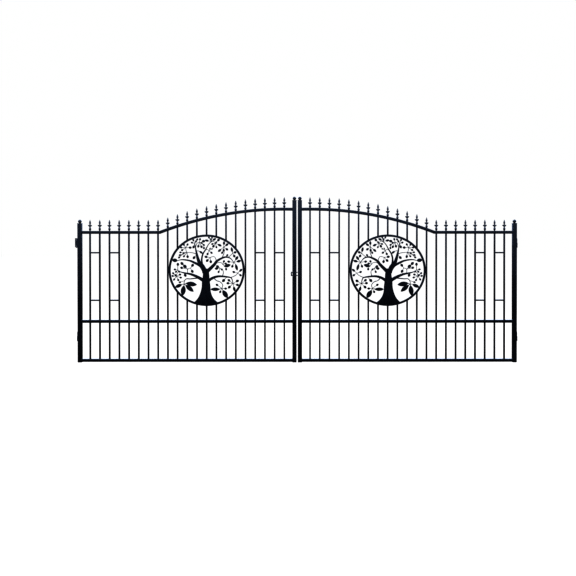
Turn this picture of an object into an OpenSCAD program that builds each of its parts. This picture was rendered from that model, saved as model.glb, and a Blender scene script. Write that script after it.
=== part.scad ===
// Double-leaf driveway gate of welded steel bars. Each leaf has a flat and then arched top
// rail, pickets with spear finials and a round tree medallion, and swings on pin hinges.
// Millimetres, +Z up, the front faces -Y. The origin is on the bearing face of the
// lower left hinge bracket, where that bracket meets the pillar.

/* [Leaf] */
// Width of one leaf over its two stiles
leaf_w = 2734; // [2260:1:3300]
// Gap between the two meeting stiles
meeting_gap = 18; // [14:1:24]
// Side of the square stiles
stile_w = 50; // [44:1:60]
// How far the hinge stile stands above the top rail
hinge_stile_over = 90; // [60:1:130]
// How far the meeting stile stands above the arch's crest
meeting_stile_over = 87; // [60:1:130]

/* [Rails] */
// Height of a rail's section
rail_h = 35; // [28:1:42]
// Depth of a rail's section, front to back
rail_d = 35; // [28:1:42]
// Underside of the bottom rail above the stiles' feet
bottom_rail_z = 6; // [2:1:40]
// Underside of the middle rail above the stiles' feet
middle_rail_z = 494; // [420:1:560]
// Underside of the top rail's flat stretch above the stiles' feet
top_rail_z = 1607; // [1580:1:1930]
// From the last picket under the flat stretch to the start of the arch
arch_gap = 14.5; // [8:0.5:50]
// Height of the arch's crest above the flat stretch
arch_rise = 290; // [240:1:350]

/* [Pickets] */
// Pickets in one leaf
picket_count = 21; // [19:1:23]
// Pickets under the top rail's flat stretch
flat_pickets = 8; // [7:1:9]
// Side of the square pickets
picket_w = 18; // [14:0.1:22]
// Gap between a stile and the picket beside it
end_gap = 93; // [80:1:105]
// Play of a picket in the punched middle rail, on each side
picket_fit = 0.2; // [0.1:0.1:0.4]

/* [Rungs] */
// Height and depth of the short bars between pairs of pickets
rung_w = 16; // [10:1:18]
// Middle of the lower rungs above the stiles' feet
lower_rung_z = 775; // [700:1:820]
// Middle of the upper rungs above the stiles' feet
upper_rung_z = 1370; // [1300:1:1450]

/* [Medallion] */
// Pickets between the medallion and the meeting stile
inner_pickets = 4; // [4:1:5]
// Height of the medallion over its rim
medallion_h = 893; // [800:1:960]
// Middle of the medallion above the stiles' feet
medallion_z = 1150; // [1100:1:1180]
// Width of the rim's band
rim_band = 26; // [18:1:30]
// Thickness of the medallion's plate
plate_t = 6; // [5:1:12]
// Gap between the rim and the cut end of a picket
rim_fit = 0.1; // [0.1:0.1:0.4]

/* [Finials] */
// Height of a finial above its foot
finial_h = 141; // [120:1:160]
// Width of a finial over its two side petals
petal_w = 50; // [40:1:66]
// Thickness of the side petals, front to back
petal_t = 12; // [6:1:14]
// How far the finials on the arch are let down over it
arch_sink = 8; // [4:1:9]

/* [Stile caps] */
// Side of the square cap plate
cap_w = 54; // [50:1:70]
// Thickness of the cap plate
cap_t = 6; // [4:1:8]
// Diameter of the cap's ball
ball_d = 43; // [30:1:50]

/* [Hinges] */
// Radius of a hinge's barrel
barrel_r = 8; // [7:0.1:10]
// Gap between a bracket's barrel and the stile
barrel_clear = 2; // [1:0.5:4]
// Radius of a hinge's pin
pin_r = 5; // [4:0.5:5.5]
// Running play of the pin in its bore, on the radius
pin_play = 0.1; // [0.05:0.01:0.1]
// Gap between the two halves of a barrel
barrel_gap = 0.3; // [0.2:0.1:0.6]
// Height of one half of a barrel
barrel_half = 60; // [54:1:70]
// How far a bracket's pad stands proud of its barrel
pad_proud = 1; // [0.5:0.5:1.5]
// How far the pin stands up into the upper half
pin_reach = 42; // [30:1:46]
// Middle of the lower hinges above the stiles' feet
lower_hinge_z = 322; // [200:1:420]
// Middle of the upper hinges above the stiles' feet
upper_hinge_z = 1492; // [1400:1:1520]
// How far the upper left bracket's strap stands out past the leaf
strap_reach = 43; // [38:1:60]
// Thickness of that strap
strap_t = 6; // [5:1:8]
// Radius of the strap's bolt holes
strap_hole_r = 4; // [3:0.5:4.5]
// Distance between the strap's bolt holes
strap_hole_gap = 80; // [60:1:86]

/* [Latch] */
// Middle of the latch above the stiles' feet
latch_z = 1106; // [1000:1:1200]
// Radius of the two bolt rods
rod_r = 5; // [4:0.5:6]
// Distance between the two bolt rods
rod_gap = 39; // [26:0.1:46]
// Play of a rod in its guide, on the radius
rod_play = 0.1; // [0.05:0.01:0.1]
// Travel of the bolt
bolt_travel = 30; // [24:1:32]
// Gap between the drawn bolt and the keeper
bolt_clear = 6; // [5:1:7]

/* [Hidden] */

black = [0.07, 0.08, 0.11];
fine = 48;
wide = 720;

// Sizes of the small parts
foot_h = 13;
foot_top = 15.5;
foot_r = 9.5;
foot_below = 20;
cone_h = 10;
cone_in = 4;
collar_h = 5;
ball_sink = 3;
strap_edge = 1;
strap_corner = 12;
strap_join = 2;
latch_plate_t = 4;
plate_inset = 2;
rod_out = 12;
guide_w = 20;
guide_inset = 3;
guide_edge = 5;
grip_t = 11;
grip_edge = 2;
grip_clear = 1;
knob_r = 9;
knob_out = 16;
knob_neck_r = 4;
keeper_inset = 3;
keeper_w = 22;
keeper_room = 4;
keeper_strap = 4;

// The finial and the tree are drawn at these sizes and stretched to the real ones
drawn_finial_h = 141;
drawn_tree_w = 954;
drawn_tree_h = 893;
twig_w = 5;
hub_r = 5;
// Width of a leaf as a share of its length
leaf_share = 0.72;
// Steps in one span of a smooth line
span_steps = 3;

// Places along a leaf are measured from the hinge stile's outer face, heights from the
// stiles' feet, and depths from the middle of the bars.
hinge_gap = 2 * barrel_r + pad_proud + barrel_clear;
opening_w = 2 * hinge_gap + 2 * leaf_w + meeting_gap;
meeting_u = leaf_w + meeting_gap;
inner_face = leaf_w - stile_w;
pitch = (inner_face - stile_w - 2 * end_gap - picket_w) / (picket_count - 1);
flat_mid_z = top_rail_z + rail_h / 2;
crest_z = flat_mid_z + arch_rise;
crest_u = picket_u(picket_count);
arch_start = picket_u(flat_pickets) + picket_w / 2 + arch_gap;
arch_run = crest_u - arch_start;
arch_r = (arch_run * arch_run + arch_rise * arch_rise) / (2 * arch_rise);
kink_angle = asin(arch_run / arch_r);
hinge_stile_h = top_rail_z + rail_h + hinge_stile_over;
meeting_stile_h = crest_z + rail_h / 2 + meeting_stile_over;
picket_foot_z = bottom_rail_z + rail_h;

rim_first = flat_pickets + 1;
rim_last = picket_count - inner_pickets;
medallion_u = picket_u((rim_first + rim_last) / 2);
medallion_w = (rim_last - rim_first) * pitch - picket_w - 2 * rim_fit;
pin_u = -barrel_r - barrel_clear;
pin_v = stile_w / 2;
pad_z = lower_hinge_z - (barrel_gap + barrel_half) / 2;

rod_v = -stile_w / 2 - rod_out;
guide_u = leaf_w - guide_inset - guide_w;
grip_u = guide_u - bolt_travel - grip_t - grip_clear;
drawn_tip_u = meeting_u + keeper_inset - bolt_clear;

function picket_u(i) = stile_w + end_gap + picket_w / 2 + (i - 1) * pitch;

// ---- placing ----

module in_left_leaf() {
  translate([hinge_gap, -pin_v, -pad_z]) children();
}

module in_right_leaf() {
  translate([opening_w, 0, 0]) mirror([1, 0, 0]) in_left_leaf() children();
}

// ---- bars ----

module bar(u0, u1, z0, z1, depth) {
  color(black) translate([u0, -depth / 2, z0]) cube([u1 - u0, depth, z1 - z0]);
}

// Everything within a radius of the arch's centre
module arch_disc(r, depth) {
  translate([crest_u, 0, crest_z - arch_r]) rotate([90, 0, 0])
    cylinder(r = r, h = depth, center = true, $fn = wide);
}

// The side of the mitre, between the flat stretch and the arch, that holds the arch
module arch_side() {
  reach = 2 * rail_h;
  lean = reach * tan(kink_angle / 2);
  translate([0, rail_d, 0]) rotate([90, 0, 0]) linear_extrude(2 * rail_d)
    polygon([
      [arch_start - lean, flat_mid_z + reach], [arch_start + lean, flat_mid_z - reach],
      [inner_face, flat_mid_z - reach], [inner_face, crest_z + reach],
      [arch_start - lean, crest_z + reach]
    ]);
}

module hinge_stile() {
  bar(0, stile_w, 0, hinge_stile_h, stile_w);
}

module meeting_stile() {
  bar(inner_face, leaf_w, 0, meeting_stile_h, stile_w);
}

module top_rail() {
  difference() {
    bar(stile_w, arch_start + rail_h, top_rail_z, top_rail_z + rail_h, rail_d);
    arch_side();
  }
}

module arch_rail() {
  spare = 3;
  color(black) intersection() {
    translate([crest_u, 0, crest_z - arch_r]) rotate([90, 0, 0]) rotate([0, 0, 90 - spare])
      rotate_extrude(angle = kink_angle + 2 * spare, $fn = wide)
        translate([arch_r - rail_h / 2, -rail_d / 2]) square([rail_h, rail_d]);
    arch_side();
  }
}

module bottom_rail() {
  bar(stile_w, inner_face, bottom_rail_z, bottom_rail_z + rail_h, rail_d);
}

// The middle rail is punched, and every picket runs through it
module middle_rail() {
  hole = picket_w / 2 + picket_fit;
  difference() {
    bar(stile_w, inner_face, middle_rail_z, middle_rail_z + rail_h, rail_d);
    for (i = [1:picket_count])
      bar(picket_u(i) - hole, picket_u(i) + hole, middle_rail_z - 1,
        middle_rail_z + rail_h + 1, 2 * hole);
  }
}

module picket_bar(i, z0, z1) {
  bar(picket_u(i) - picket_w / 2, picket_u(i) + picket_w / 2, z0, z1, picket_w);
}

// A picket from the bottom rail to the top rail, cut to the arch where it is under it
module picket(i) {
  if (i <= flat_pickets)
    picket_bar(i, picket_foot_z, top_rail_z);
  else
    color(black) intersection() {
      picket_bar(i, picket_foot_z, crest_z);
      arch_disc(arch_r - rail_h / 2, 2 * picket_w);
    }
}

module pickets(first, last) {
  for (i = [first:last]) picket(i);
}

// The pickets that the medallion interrupts, kept above or below its middle
module medallion_pickets(upper) {
  z0 = upper ? medallion_z : picket_foot_z;
  z1 = upper ? crest_z : medallion_z;
  for (i = [rim_first + 1:rim_last - 1])
    color(black) difference() {
      intersection() {
        picket_bar(i, z0, z1);
        arch_disc(arch_r - rail_h / 2, 2 * picket_w);
      }
      in_medallion() linear_extrude(2 * picket_w, center = true)
        polygon(oval(medallion_w / 2 + rim_fit, medallion_h / 2 + rim_fit));
    }
}

module rungs(firsts) {
  for (i = firsts, z = [lower_rung_z, upper_rung_z])
    bar(picket_u(i) + picket_w / 2, picket_u(i + 1) - picket_w / 2, z - rung_w / 2,
      z + rung_w / 2, rung_w);
}

// ---- finials ----

// A height on the drawn finial, stretched to the real one above its foot
function up(z) = foot_h + (z - foot_h) * (finial_h - foot_h) / (drawn_finial_h - foot_h);

// Outline of a finial's turned body above its foot: bulb, neck, spear
function finial_outline() = [
  for (p = [
    [0, foot_h], [8, foot_h], [12.8, 17], [13.4, 25], [12.4, 34], [8.6, 42], [7, 47],
    [7.2, 54], [7, 64], [6.5, 80], [8, 88], [10.8, 95], [11.4, 101], [9.6, 112],
    [5, 127], [0, drawn_finial_h]
  ])
    [p[0], up(p[1])]
];

// Two petals that rise to their tips, as the area between two bowed lines
function petal_outline() = concat(
  [for (s = [-1:0.25:1]) [s * petal_w / 2, up(46 + 21 * pow(abs(s), 1.1))]],
  [for (s = [1:-0.25:-1]) [s * petal_w / 2, up(79 - 6 * abs(s))]]
);

module finial() {
  color(black) {
    rotate_extrude($fn = fine) polygon(finial_outline());
    rotate([90, 0, 0]) linear_extrude(petal_t, center = true) polygon(petal_outline());
  }
}

// A finial over picket i. On the arch its foot is cut to the top of the rail.
module finial_on(i) {
  flat = i <= flat_pickets;
  drop = arch_r + rail_h / 2;
  across = picket_u(i) - crest_u;
  seat = flat ? top_rail_z + rail_h
    : crest_z - arch_r + sqrt(drop * drop - across * across) - arch_sink;
  below = flat ? 0 : foot_below;
  translate([picket_u(i), 0, seat]) finial();
  color(black) difference() {
    translate([picket_u(i), 0, seat - below])
      cylinder(r = foot_r, h = foot_top + below, $fn = fine);
    if (!flat)
      arch_disc(drop, 2 * rail_d);
  }
}

module finials(first, last) {
  for (i = [first:last]) finial_on(i);
}

// ---- caps ----

module stile_cap(mid_u, foot_z) {
  ball_r = ball_d / 2;
  color(black) translate([mid_u, 0, foot_z]) {
    translate([-cap_w / 2, -cap_w / 2, 0]) cube([cap_w, cap_w, cap_t]);
    translate([0, 0, cap_t])
      cylinder(r1 = ball_r * 0.7, r2 = ball_r * 0.5, h = collar_h, $fn = fine);
    translate([0, 0, cap_t + collar_h - ball_sink + ball_r]) sphere(r = ball_r, $fn = fine);
  }
}

// ---- medallion ----

module in_medallion() {
  translate([medallion_u, 0, medallion_z]) rotate([90, 0, 0]) children();
}

function oval(a, b) = [for (t = [0:4:356]) [a * cos(t), b * sin(t)]];

// A smooth line through points: each span is a cubic whose ends follow their neighbours
function knot(p, i) = p[max(0, min(len(p) - 1, i))];

function span_at(a, b, c, d, t) = 0.5 * (2 * b + (c - a) * t
  + (2 * a - 5 * b + 4 * c - d) * t * t + (3 * b - a - 3 * c + d) * t * t * t);

function smooth(p) = [
  for (i = [0:len(p) - 2], s = [0:span_steps - 1])
    span_at(knot(p, i - 1), p[i], p[i + 1], knot(p, i + 2), s / span_steps),
  p[len(p) - 1]
];

function side_of(p, i) =
  let (d = knot(p, i + 1) - knot(p, i - 1)) [-d[1], d[0]] / norm(d);

// A branch: a band along a smooth line that narrows from its start to its end
module branch(knots, w0, w1) {
  line = smooth(knots);
  last = len(line) - 1;
  half = [for (i = [0:last]) (w0 + (w1 - w0) * i / last) / 2];
  polygon(concat(
    [for (i = [0:last]) line[i] + half[i] * side_of(line, i)],
    [for (i = [last:-1:0]) line[i] - half[i] * side_of(line, i)]
  ));
}

// A pointed leaf that grows from a place on its twig
module leaf(from, angle, length, width) {
  steps = length > 80 ? 7 : 5;
  across = [for (i = [0:steps]) [length * i / steps, width / 2 * pow(sin(180 * i / steps), 0.8)]];
  translate(from) rotate(angle)
    polygon(concat(
      [for (i = [0:steps]) across[i]],
      [for (i = [steps - 1:-1:1]) [across[i][0], -across[i][1]]]
    ));
}

// A spray: leaves of one length around a hub. Each is given by its middle, points away
// from the hub and hangs on a stem.
module spray(hub, length, middles, share = leaf_share) {
  translate(hub) circle(r = hub_r, $fn = 8);
  for (middle = middles) {
    reach = norm(middle - hub) - length / 2;
    angle = atan2(middle[1] - hub[1], middle[0] - hub[0]);
    leaf(hub + reach * [cos(angle), sin(angle)], angle, length, length * share);
    translate(hub) rotate(angle) translate([0, -twig_w / 2])
      square([max(reach, 0) + hub_r, twig_w]);
  }
}

module trunk() {
  left = smooth([
    [-46, 30], [-46, -60], [-58, -140], [-60, -200], [-68, -246], [-84, -299], [-110, -350],
    [-150, -394], [-190, -416]
  ]);
  right = smooth([
    [166, -416], [126, -392], [92, -360], [66, -318], [50, -264], [46, -200], [36, -120],
    [30, -40], [20, 18]
  ]);
  polygon(concat(left, [[0, -440]], right));
}

module limbs() {
  branch([[-22, -30], [-45, 40], [-90, 98], [-110, 150], [-122, 200], [-134, 255], [-148, 334]],
    62, 7);
  branch([[-24, 0], [-50, 60], [-62, 130], [-47, 203], [-12, 259], [20, 318], [57, 362]], 26, 6);
  branch([[-30, -20], [-78, 54], [-159, 98], [-218, 122], [-309, 133], [-364, 120]], 40, 6);
  branch([[-20, -140], [-106, -88], [-194, -50], [-281, -33], [-352, -12]], 46, 6);
  branch([[-90, -94], [-145, -101], [-211, -108], [-250, -106], [-276, -130], [-284, -172]],
    14, 6);
  branch([[2, -20], [44, 20], [100, 76], [124, 112], [183, 148], [242, 166], [300, 148], [340, 99]],
    46, 6);
  branch([[10, -150], [39, -118], [100, -86], [169, -75], [263, -84], [312, -100], [330, -166]],
    40, 6);
}

module twigs() {
  branch([[-119, 190], [-150, 212], [-200, 222], [-245, 224]], 9, 5);
  branch([[-245, 222], [-258, 250], [-260, 283]], 6, 5);
  branch([[-138, 290], [-120, 338], [-91, 350]], 7, 5);
  branch([[-120, 244], [-96, 240], [-68, 224], [-44, 204]], 7, 6);
  branch([[-18, 250], [8, 262], [30, 246]], 6, 5);
  branch([[40, 340], [70, 362], [95, 356], [109, 339]], 6, 5);
  branch([[122, 108], [114, 146], [90, 172], [44, 160]], 8, 5);
  branch([[190, 150], [206, 185], [219, 225], [214, 290]], 9, 5);
  branch([[266, 163], [300, 186], [326, 214]], 7, 5);
  branch([[108, 82], [150, 98], [184, 94], [202, 75]], 8, 5);
  branch([[196, -76], [209, -36], [204, -4], [168, 26]], 8, 5);
  branch([[296, -92], [340, -76], [372, -56], [386, -36]], 8, 5);
  branch([[92, -98], [125, -130], [169, -145], [202, -185], [190, -226]], 10, 6);
  branch([[-235, -42], [-240, -10], [-238, 14]], 7, 5);
  branch([[-240, 8], [-222, 24], [-202, 27]], 6, 5);
  branch([[-352, -12], [-361, 14], [-360, 60]], 6, 5);
  branch([[-348, -14], [-368, -34], [-379, -74]], 6, 5);
}

// Each spray has its hub, the length of its leaves and the middle of each leaf
module upper_left_sprays() {
  spray([-260, 283], 34, [[-239, 322], [-285, 320], [-318, 285], [-306, 253]]);
  spray([-260, 283], 42, [[-206, 284]]);
  spray([-245, 224], 32, [[-288, 210], [-327, 224], [-283, 175]]);
  spray([-288, 210], 34, [[-334, 190], [-344, 161]]);
  spray([-245, 224], 42, [[-238, 171]]);
  spray([-148, 334], 34, [[-117, 386], [-133, 362], [-166, 378], [-182, 346]]);
  spray([-148, 334], 42, [[-163, 292]]);
  spray([-91, 350], 34, [[-82, 388], [-62, 342], [-36, 318]]);
  spray([-91, 350], 40, [[-103, 301], [-64, 294]]);
  spray([-36, 318], 34, [[-33, 278]]);
  spray([-120, 200], 46, [[-157, 158]]);
  leaf([-92, 240], -34, 56, 26);
}

module upper_right_sprays() {
  spray([57, 362], 30, [[30, 409], [53, 388], [68, 408]]);
  spray([57, 362], 54, [[96, 386], [4, 372]], 0.52);
  spray([4, 372], 46, [[-38, 364]]);
  spray([109, 339], 32, [[72, 329], [123, 290], [120, 350]]);
  spray([109, 339], 42, [[148, 378], [86, 301]]);
  spray([109, 339], 56, [[163, 314]], 0.52);
  spray([214, 290], 40, [[254, 262], [214, 250]]);
  spray([214, 290], 54, [[218, 340], [254, 320], [163, 248]], 0.52);
  spray([210, 250], 36, [[195, 220]]);
  spray([30, 246], 24, [[44, 272], [68, 268]]);
  spray([30, 246], 36, [[60, 220], [12, 204]]);
  spray([44, 160], 44, [[8, 122], [52, 108], [-6, 168]]);
  spray([242, 166], 34, [[258, 188]]);
  spray([326, 214], 66, [[316, 258]], 0.43);
  spray([326, 214], 42, [[356, 224], [346, 178]]);
}

module right_sprays() {
  spray([340, 99], 62, [[377, 152], [403, 114]], 0.52);
  spray([340, 99], 40, [[322, 50], [277, 108]]);
  branch([[340, 99], [366, 72]], 5, 7);
  leaf([362, 80], -75, 88, 32);
  spray([202, 75], 36, [[216, 111], [238, 84]]);
  branch([[202, 75], [224, 50]], 5, 7);
  leaf([217, 47], 15, 87, 42);
  spray([240, 60], 36, [[244, 14]]);
  spray([168, 26], 46, [[137, 46], [124, 22]]);
  spray([168, 26], 34, [[190, 10], [150, -20]]);
  spray([386, -36], 38, [[340, -22], [424, -62]]);
  spray([386, -36], 54, [[428, 0]], 0.52);
  spray([330, -166], 42, [[279, -126], [267, -162], [386, -183]]);
  spray([330, -166], 46, [[384, -134], [284, -211]]);
  spray([330, -166], 66, [[346, -234]], 0.48);
  spray([250, -86], 50, [[212, -128]]);
  spray([190, -226], 38, [[130, -183], [170, -270], [237, -229]]);
}

module left_sprays() {
  spray([-238, 14], 58, [[-272, 48]]);
  spray([-272, 48], 50, [[-308, 84]]);
  spray([-238, 14], 42, [[-312, 31]]);
  spray([-202, 27], 46, [[-176, 62], [-180, -13]]);
  spray([-360, 60], 44, [[-360, 74]]);
  spray([-361, 4], 34, [[-397, 10], [-383, -18], [-344, -16]]);
  spray([-379, -74], 34, [[-418, -38], [-425, -71], [-407, -115], [-355, -122], [-325, -91]]);
  spray([-379, -74], 36, [[-334, -54], [-388, -62]]);
  spray([-276, -130], 34, [[-334, -150]]);
  spray([-280, -36], 46, [[-268, -62]]);
  leaf([-360, 121], 174, 76, 46);
}

// The broad leaves low in the crown, and the thick stems of two of them
module broad_leaves() {
  hub = [-284, -172];
  leaf(hub + [22, 10], -8, 142, 58);
  leaf(hub + [18, -10], -40, 134, 54);
  leaf(hub + [0, -16], -98, 134, 60);
  leaf(hub + [-24, -4], 203, 96, 42);
  branch([hub + [-30, -6], hub, hub + [40, 8]], 5, 8);
  branch([hub, hub + [22, -14]], 6, 8);
  branch([hub, hub + [0, -24]], 6, 8);
  leaf([168, -238], 180, 122, 42);
  leaf([200, -248], -58, 118, 58);
  branch([[190, -226], [150, -238]], 6, 8);
  branch([[190, -226], [210, -262]], 6, 8);
}

// The whole plate in outline. The joining is done in the plane, so that the plate is
// one extrusion.
module medallion_outline() {
  offset(delta = 0) intersection() {
    polygon(oval(medallion_w / 2, medallion_h / 2));
    union() {
      difference() {
        polygon(oval(medallion_w / 2, medallion_h / 2));
        polygon(oval(medallion_w / 2 - rim_band, medallion_h / 2 - rim_band));
      }
      scale([medallion_w / drawn_tree_w, medallion_h / drawn_tree_h]) {
        trunk();
        limbs();
        twigs();
        upper_left_sprays();
        upper_right_sprays();
        right_sprays();
        left_sprays();
        broad_leaves();
      }
    }
  }
}

module medallion() {
  color(black) in_medallion() linear_extrude(plate_t, center = true) medallion_outline();
}

// ---- hinges ----

// Half a barrel with a coned end, standing on z = 0
module half_barrel() {
  cylinder(r = barrel_r, h = barrel_half - cone_h, $fn = fine);
  translate([0, 0, barrel_half - cone_h])
    cylinder(r1 = barrel_r, r2 = barrel_r - cone_in, h = cone_h, $fn = fine);
}

// The leaf's half, above: a barrel and the lug that joins it to the stile
module hinge_knuckle(z) {
  color(black) translate([pin_u, pin_v, z + barrel_gap / 2]) difference() {
    union() {
      half_barrel();
      translate([0, -barrel_r, 0]) cube([-pin_u, barrel_r, barrel_half - cone_h]);
    }
    translate([0, 0, -1]) cylinder(r = pin_r + pin_play, h = pin_reach + 3, $fn = fine);
  }
}

// The pillar's half, below: a barrel with a flat pad, and the pin that stands in it
module hinge_bracket(z) {
  color(black) translate([pin_u, pin_v, z - barrel_gap / 2]) {
    mirror([0, 0, 1]) {
      half_barrel();
      translate([-hinge_gap - pin_u, -barrel_r, 0])
        cube([hinge_gap + pin_u, 2 * barrel_r, barrel_half]);
    }
    cylinder(r = pin_r, h = pin_reach, $fn = fine);
  }
}

// The upper left bracket also has a strap, with two bolt holes, for the pillar's back
module strapped_bracket(z) {
  strap_h = 2 * (barrel_half - strap_edge);
  strap_u = -strap_reach;
  strap_w = strap_reach - hinge_gap;
  color(black) difference() {
    union() {
      hinge_bracket(z);
      translate([0, pin_v + strap_t, z]) rotate([90, 0, 0]) linear_extrude(strap_t)
        polygon([
          [strap_u, strap_h / 2], [strap_u + strap_w, strap_h / 2],
          [strap_u + strap_w, -strap_h / 2], [strap_u + strap_corner, -strap_h / 2],
          [strap_u, -strap_h / 2 + strap_corner]
        ]);
      translate([strap_u + strap_w, pin_v, z - barrel_half + strap_edge])
        cube([strap_join, strap_t, barrel_half - 2 * strap_edge]);
    }
    for (side = [-1, 1])
      translate([strap_u + strap_w / 2, pin_v + strap_t / 2, z + side * strap_hole_gap / 2])
        rotate([90, 0, 0]) cylinder(r = strap_hole_r, h = 2 * strap_t, center = true, $fn = fine);
  }
}

// ---- latch ----

module rods(r, u0, u1) {
  for (side = [-1, 1])
    translate([u0, rod_v, latch_z + side * rod_gap / 2]) rotate([0, 90, 0])
      cylinder(r = r, h = u1 - u0, $fn = fine);
}

// Two rods, the grip that joins them and a knob on the grip
module bolt_body() {
  grip_h = rod_gap + 2 * (rod_r + grip_edge);
  grip_d = 2 * rod_r + grip_edge;
  color(black) {
    rods(rod_r, grip_u, drawn_tip_u);
    translate([grip_u, rod_v - grip_d / 2, latch_z - grip_h / 2])
      cube([grip_t, grip_d, grip_h]);
    translate([grip_u + grip_t / 2, rod_v - rod_r, latch_z]) {
      rotate([90, 0, 0]) cylinder(r = knob_neck_r, h = knob_out, $fn = fine);
      translate([0, -knob_out, 0]) sphere(r = knob_r, $fn = fine);
    }
  }
}

// A plate on the left meeting stile with one block that guides both rods
module guide_body() {
  front = -stile_w / 2;
  block_h = rod_gap + 2 * (rod_r + guide_edge);
  block_d = 2 * (rod_out - latch_plate_t);
  plate_h = block_h + 2 * guide_edge;
  color(black) difference() {
    union() {
      translate([inner_face + plate_inset, front - latch_plate_t, latch_z - plate_h / 2])
        cube([stile_w - 2 * plate_inset, latch_plate_t, plate_h]);
      translate([guide_u, front - latch_plate_t - block_d, latch_z - block_h / 2])
        cube([guide_w, block_d, block_h]);
    }
    rods(rod_r + rod_play, guide_u - 1, leaf_w);
  }
}

// A staple on the right meeting stile that the rods enter
module keeper_body() {
  front = -stile_w / 2 - latch_plate_t;
  hole_h = rod_gap + 2 * (rod_r + keeper_room);
  hole_d = rod_out - latch_plate_t + rod_r + keeper_room;
  staple_h = hole_h + 2 * keeper_strap;
  staple_u = leaf_w - keeper_inset - keeper_w;
  plate_h = staple_h + 4 * keeper_strap;
  color(black) difference() {
    union() {
      translate([inner_face + plate_inset, front, latch_z - plate_h / 2])
        cube([stile_w - 2 * plate_inset, latch_plate_t, plate_h]);
      translate([staple_u, front - hole_d - keeper_strap, latch_z - staple_h / 2])
        cube([keeper_w, hole_d + keeper_strap, staple_h]);
    }
    translate([staple_u - 1, front - hole_d, latch_z - hole_h / 2])
      cube([keeper_w + 2, hole_d, hole_h]);
  }
}

// ---- nodes ----

module left_hinge_stile() { in_left_leaf() hinge_stile(); }
module left_meeting_stile() { in_left_leaf() meeting_stile(); }
module left_top_rail() { in_left_leaf() top_rail(); }
module left_arch_rail() { in_left_leaf() arch_rail(); }
module left_middle_rail() { in_left_leaf() middle_rail(); }
module left_bottom_rail() { in_left_leaf() bottom_rail(); }
module left_outer_pickets() { in_left_leaf() pickets(1, rim_first); }
module left_inner_pickets() { in_left_leaf() pickets(rim_last, picket_count); }
module left_upper_medallion_pickets() { in_left_leaf() medallion_pickets(true); }
module left_lower_medallion_pickets() { in_left_leaf() medallion_pickets(false); }
module left_outer_rungs() { in_left_leaf() rungs([1, 3]); }
module left_inner_rungs() { in_left_leaf() rungs([picket_count - 3, picket_count - 1]); }
module left_flat_finials() { in_left_leaf() finials(1, flat_pickets); }
module left_arch_finials() { in_left_leaf() finials(flat_pickets + 1, picket_count); }
module left_medallion() { in_left_leaf() medallion(); }
module left_hinge_stile_cap() { in_left_leaf() stile_cap(stile_w / 2, hinge_stile_h); }
module left_meeting_stile_cap() {
  in_left_leaf() stile_cap(leaf_w - stile_w / 2, meeting_stile_h);
}
module left_lower_hinge_knuckle() { in_left_leaf() hinge_knuckle(lower_hinge_z); }
module left_upper_hinge_knuckle() { in_left_leaf() hinge_knuckle(upper_hinge_z); }

module right_hinge_stile() { in_right_leaf() hinge_stile(); }
module right_meeting_stile() { in_right_leaf() meeting_stile(); }
module right_top_rail() { in_right_leaf() top_rail(); }
module right_arch_rail() { in_right_leaf() arch_rail(); }
module right_middle_rail() { in_right_leaf() middle_rail(); }
module right_bottom_rail() { in_right_leaf() bottom_rail(); }
module right_outer_pickets() { in_right_leaf() pickets(1, rim_first); }
module right_inner_pickets() { in_right_leaf() pickets(rim_last, picket_count); }
module right_upper_medallion_pickets() { in_right_leaf() medallion_pickets(true); }
module right_lower_medallion_pickets() { in_right_leaf() medallion_pickets(false); }
module right_outer_rungs() { in_right_leaf() rungs([1, 3]); }
module right_inner_rungs() { in_right_leaf() rungs([picket_count - 3, picket_count - 1]); }
module right_flat_finials() { in_right_leaf() finials(1, flat_pickets); }
module right_arch_finials() { in_right_leaf() finials(flat_pickets + 1, picket_count); }
module right_medallion() { in_right_leaf() medallion(); }
module right_hinge_stile_cap() { in_right_leaf() stile_cap(stile_w / 2, hinge_stile_h); }
module right_meeting_stile_cap() {
  in_right_leaf() stile_cap(leaf_w - stile_w / 2, meeting_stile_h);
}
module right_lower_hinge_knuckle() { in_right_leaf() hinge_knuckle(lower_hinge_z); }
module right_upper_hinge_knuckle() { in_right_leaf() hinge_knuckle(upper_hinge_z); }

module left_lower_hinge_bracket() { in_left_leaf() hinge_bracket(lower_hinge_z); }
module left_upper_hinge_bracket() { in_left_leaf() strapped_bracket(upper_hinge_z); }
module right_lower_hinge_bracket() { in_right_leaf() hinge_bracket(lower_hinge_z); }
module right_upper_hinge_bracket() { in_right_leaf() hinge_bracket(upper_hinge_z); }
module latch_bolt() { in_left_leaf() bolt_body(); }
module latch_guide() { in_left_leaf() guide_body(); }
module latch_keeper() { in_right_leaf() keeper_body(); }

left_hinge_stile();
left_meeting_stile();
left_top_rail();
left_arch_rail();
left_middle_rail();
left_bottom_rail();
left_outer_pickets();
left_inner_pickets();
left_upper_medallion_pickets();
left_lower_medallion_pickets();
left_outer_rungs();
left_inner_rungs();
left_flat_finials();
left_arch_finials();
left_medallion();
left_hinge_stile_cap();
left_meeting_stile_cap();
left_lower_hinge_knuckle();
left_upper_hinge_knuckle();
right_hinge_stile();
right_meeting_stile();
right_top_rail();
right_arch_rail();
right_middle_rail();
right_bottom_rail();
right_outer_pickets();
right_inner_pickets();
right_upper_medallion_pickets();
right_lower_medallion_pickets();
right_outer_rungs();
right_inner_rungs();
right_flat_finials();
right_arch_finials();
right_medallion();
right_hinge_stile_cap();
right_meeting_stile_cap();
right_lower_hinge_knuckle();
right_upper_hinge_knuckle();
left_lower_hinge_bracket();
left_upper_hinge_bracket();
right_lower_hinge_bracket();
right_upper_hinge_bracket();
latch_bolt();
latch_guide();
latch_keeper();
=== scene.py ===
"""Finished looks of a double-leaf driveway gate.

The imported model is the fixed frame. Its bars, castings, plates and fittings are built
again here with rounded corners, cast relief and weld beads, and dressed in powder coat.
"""

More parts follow.
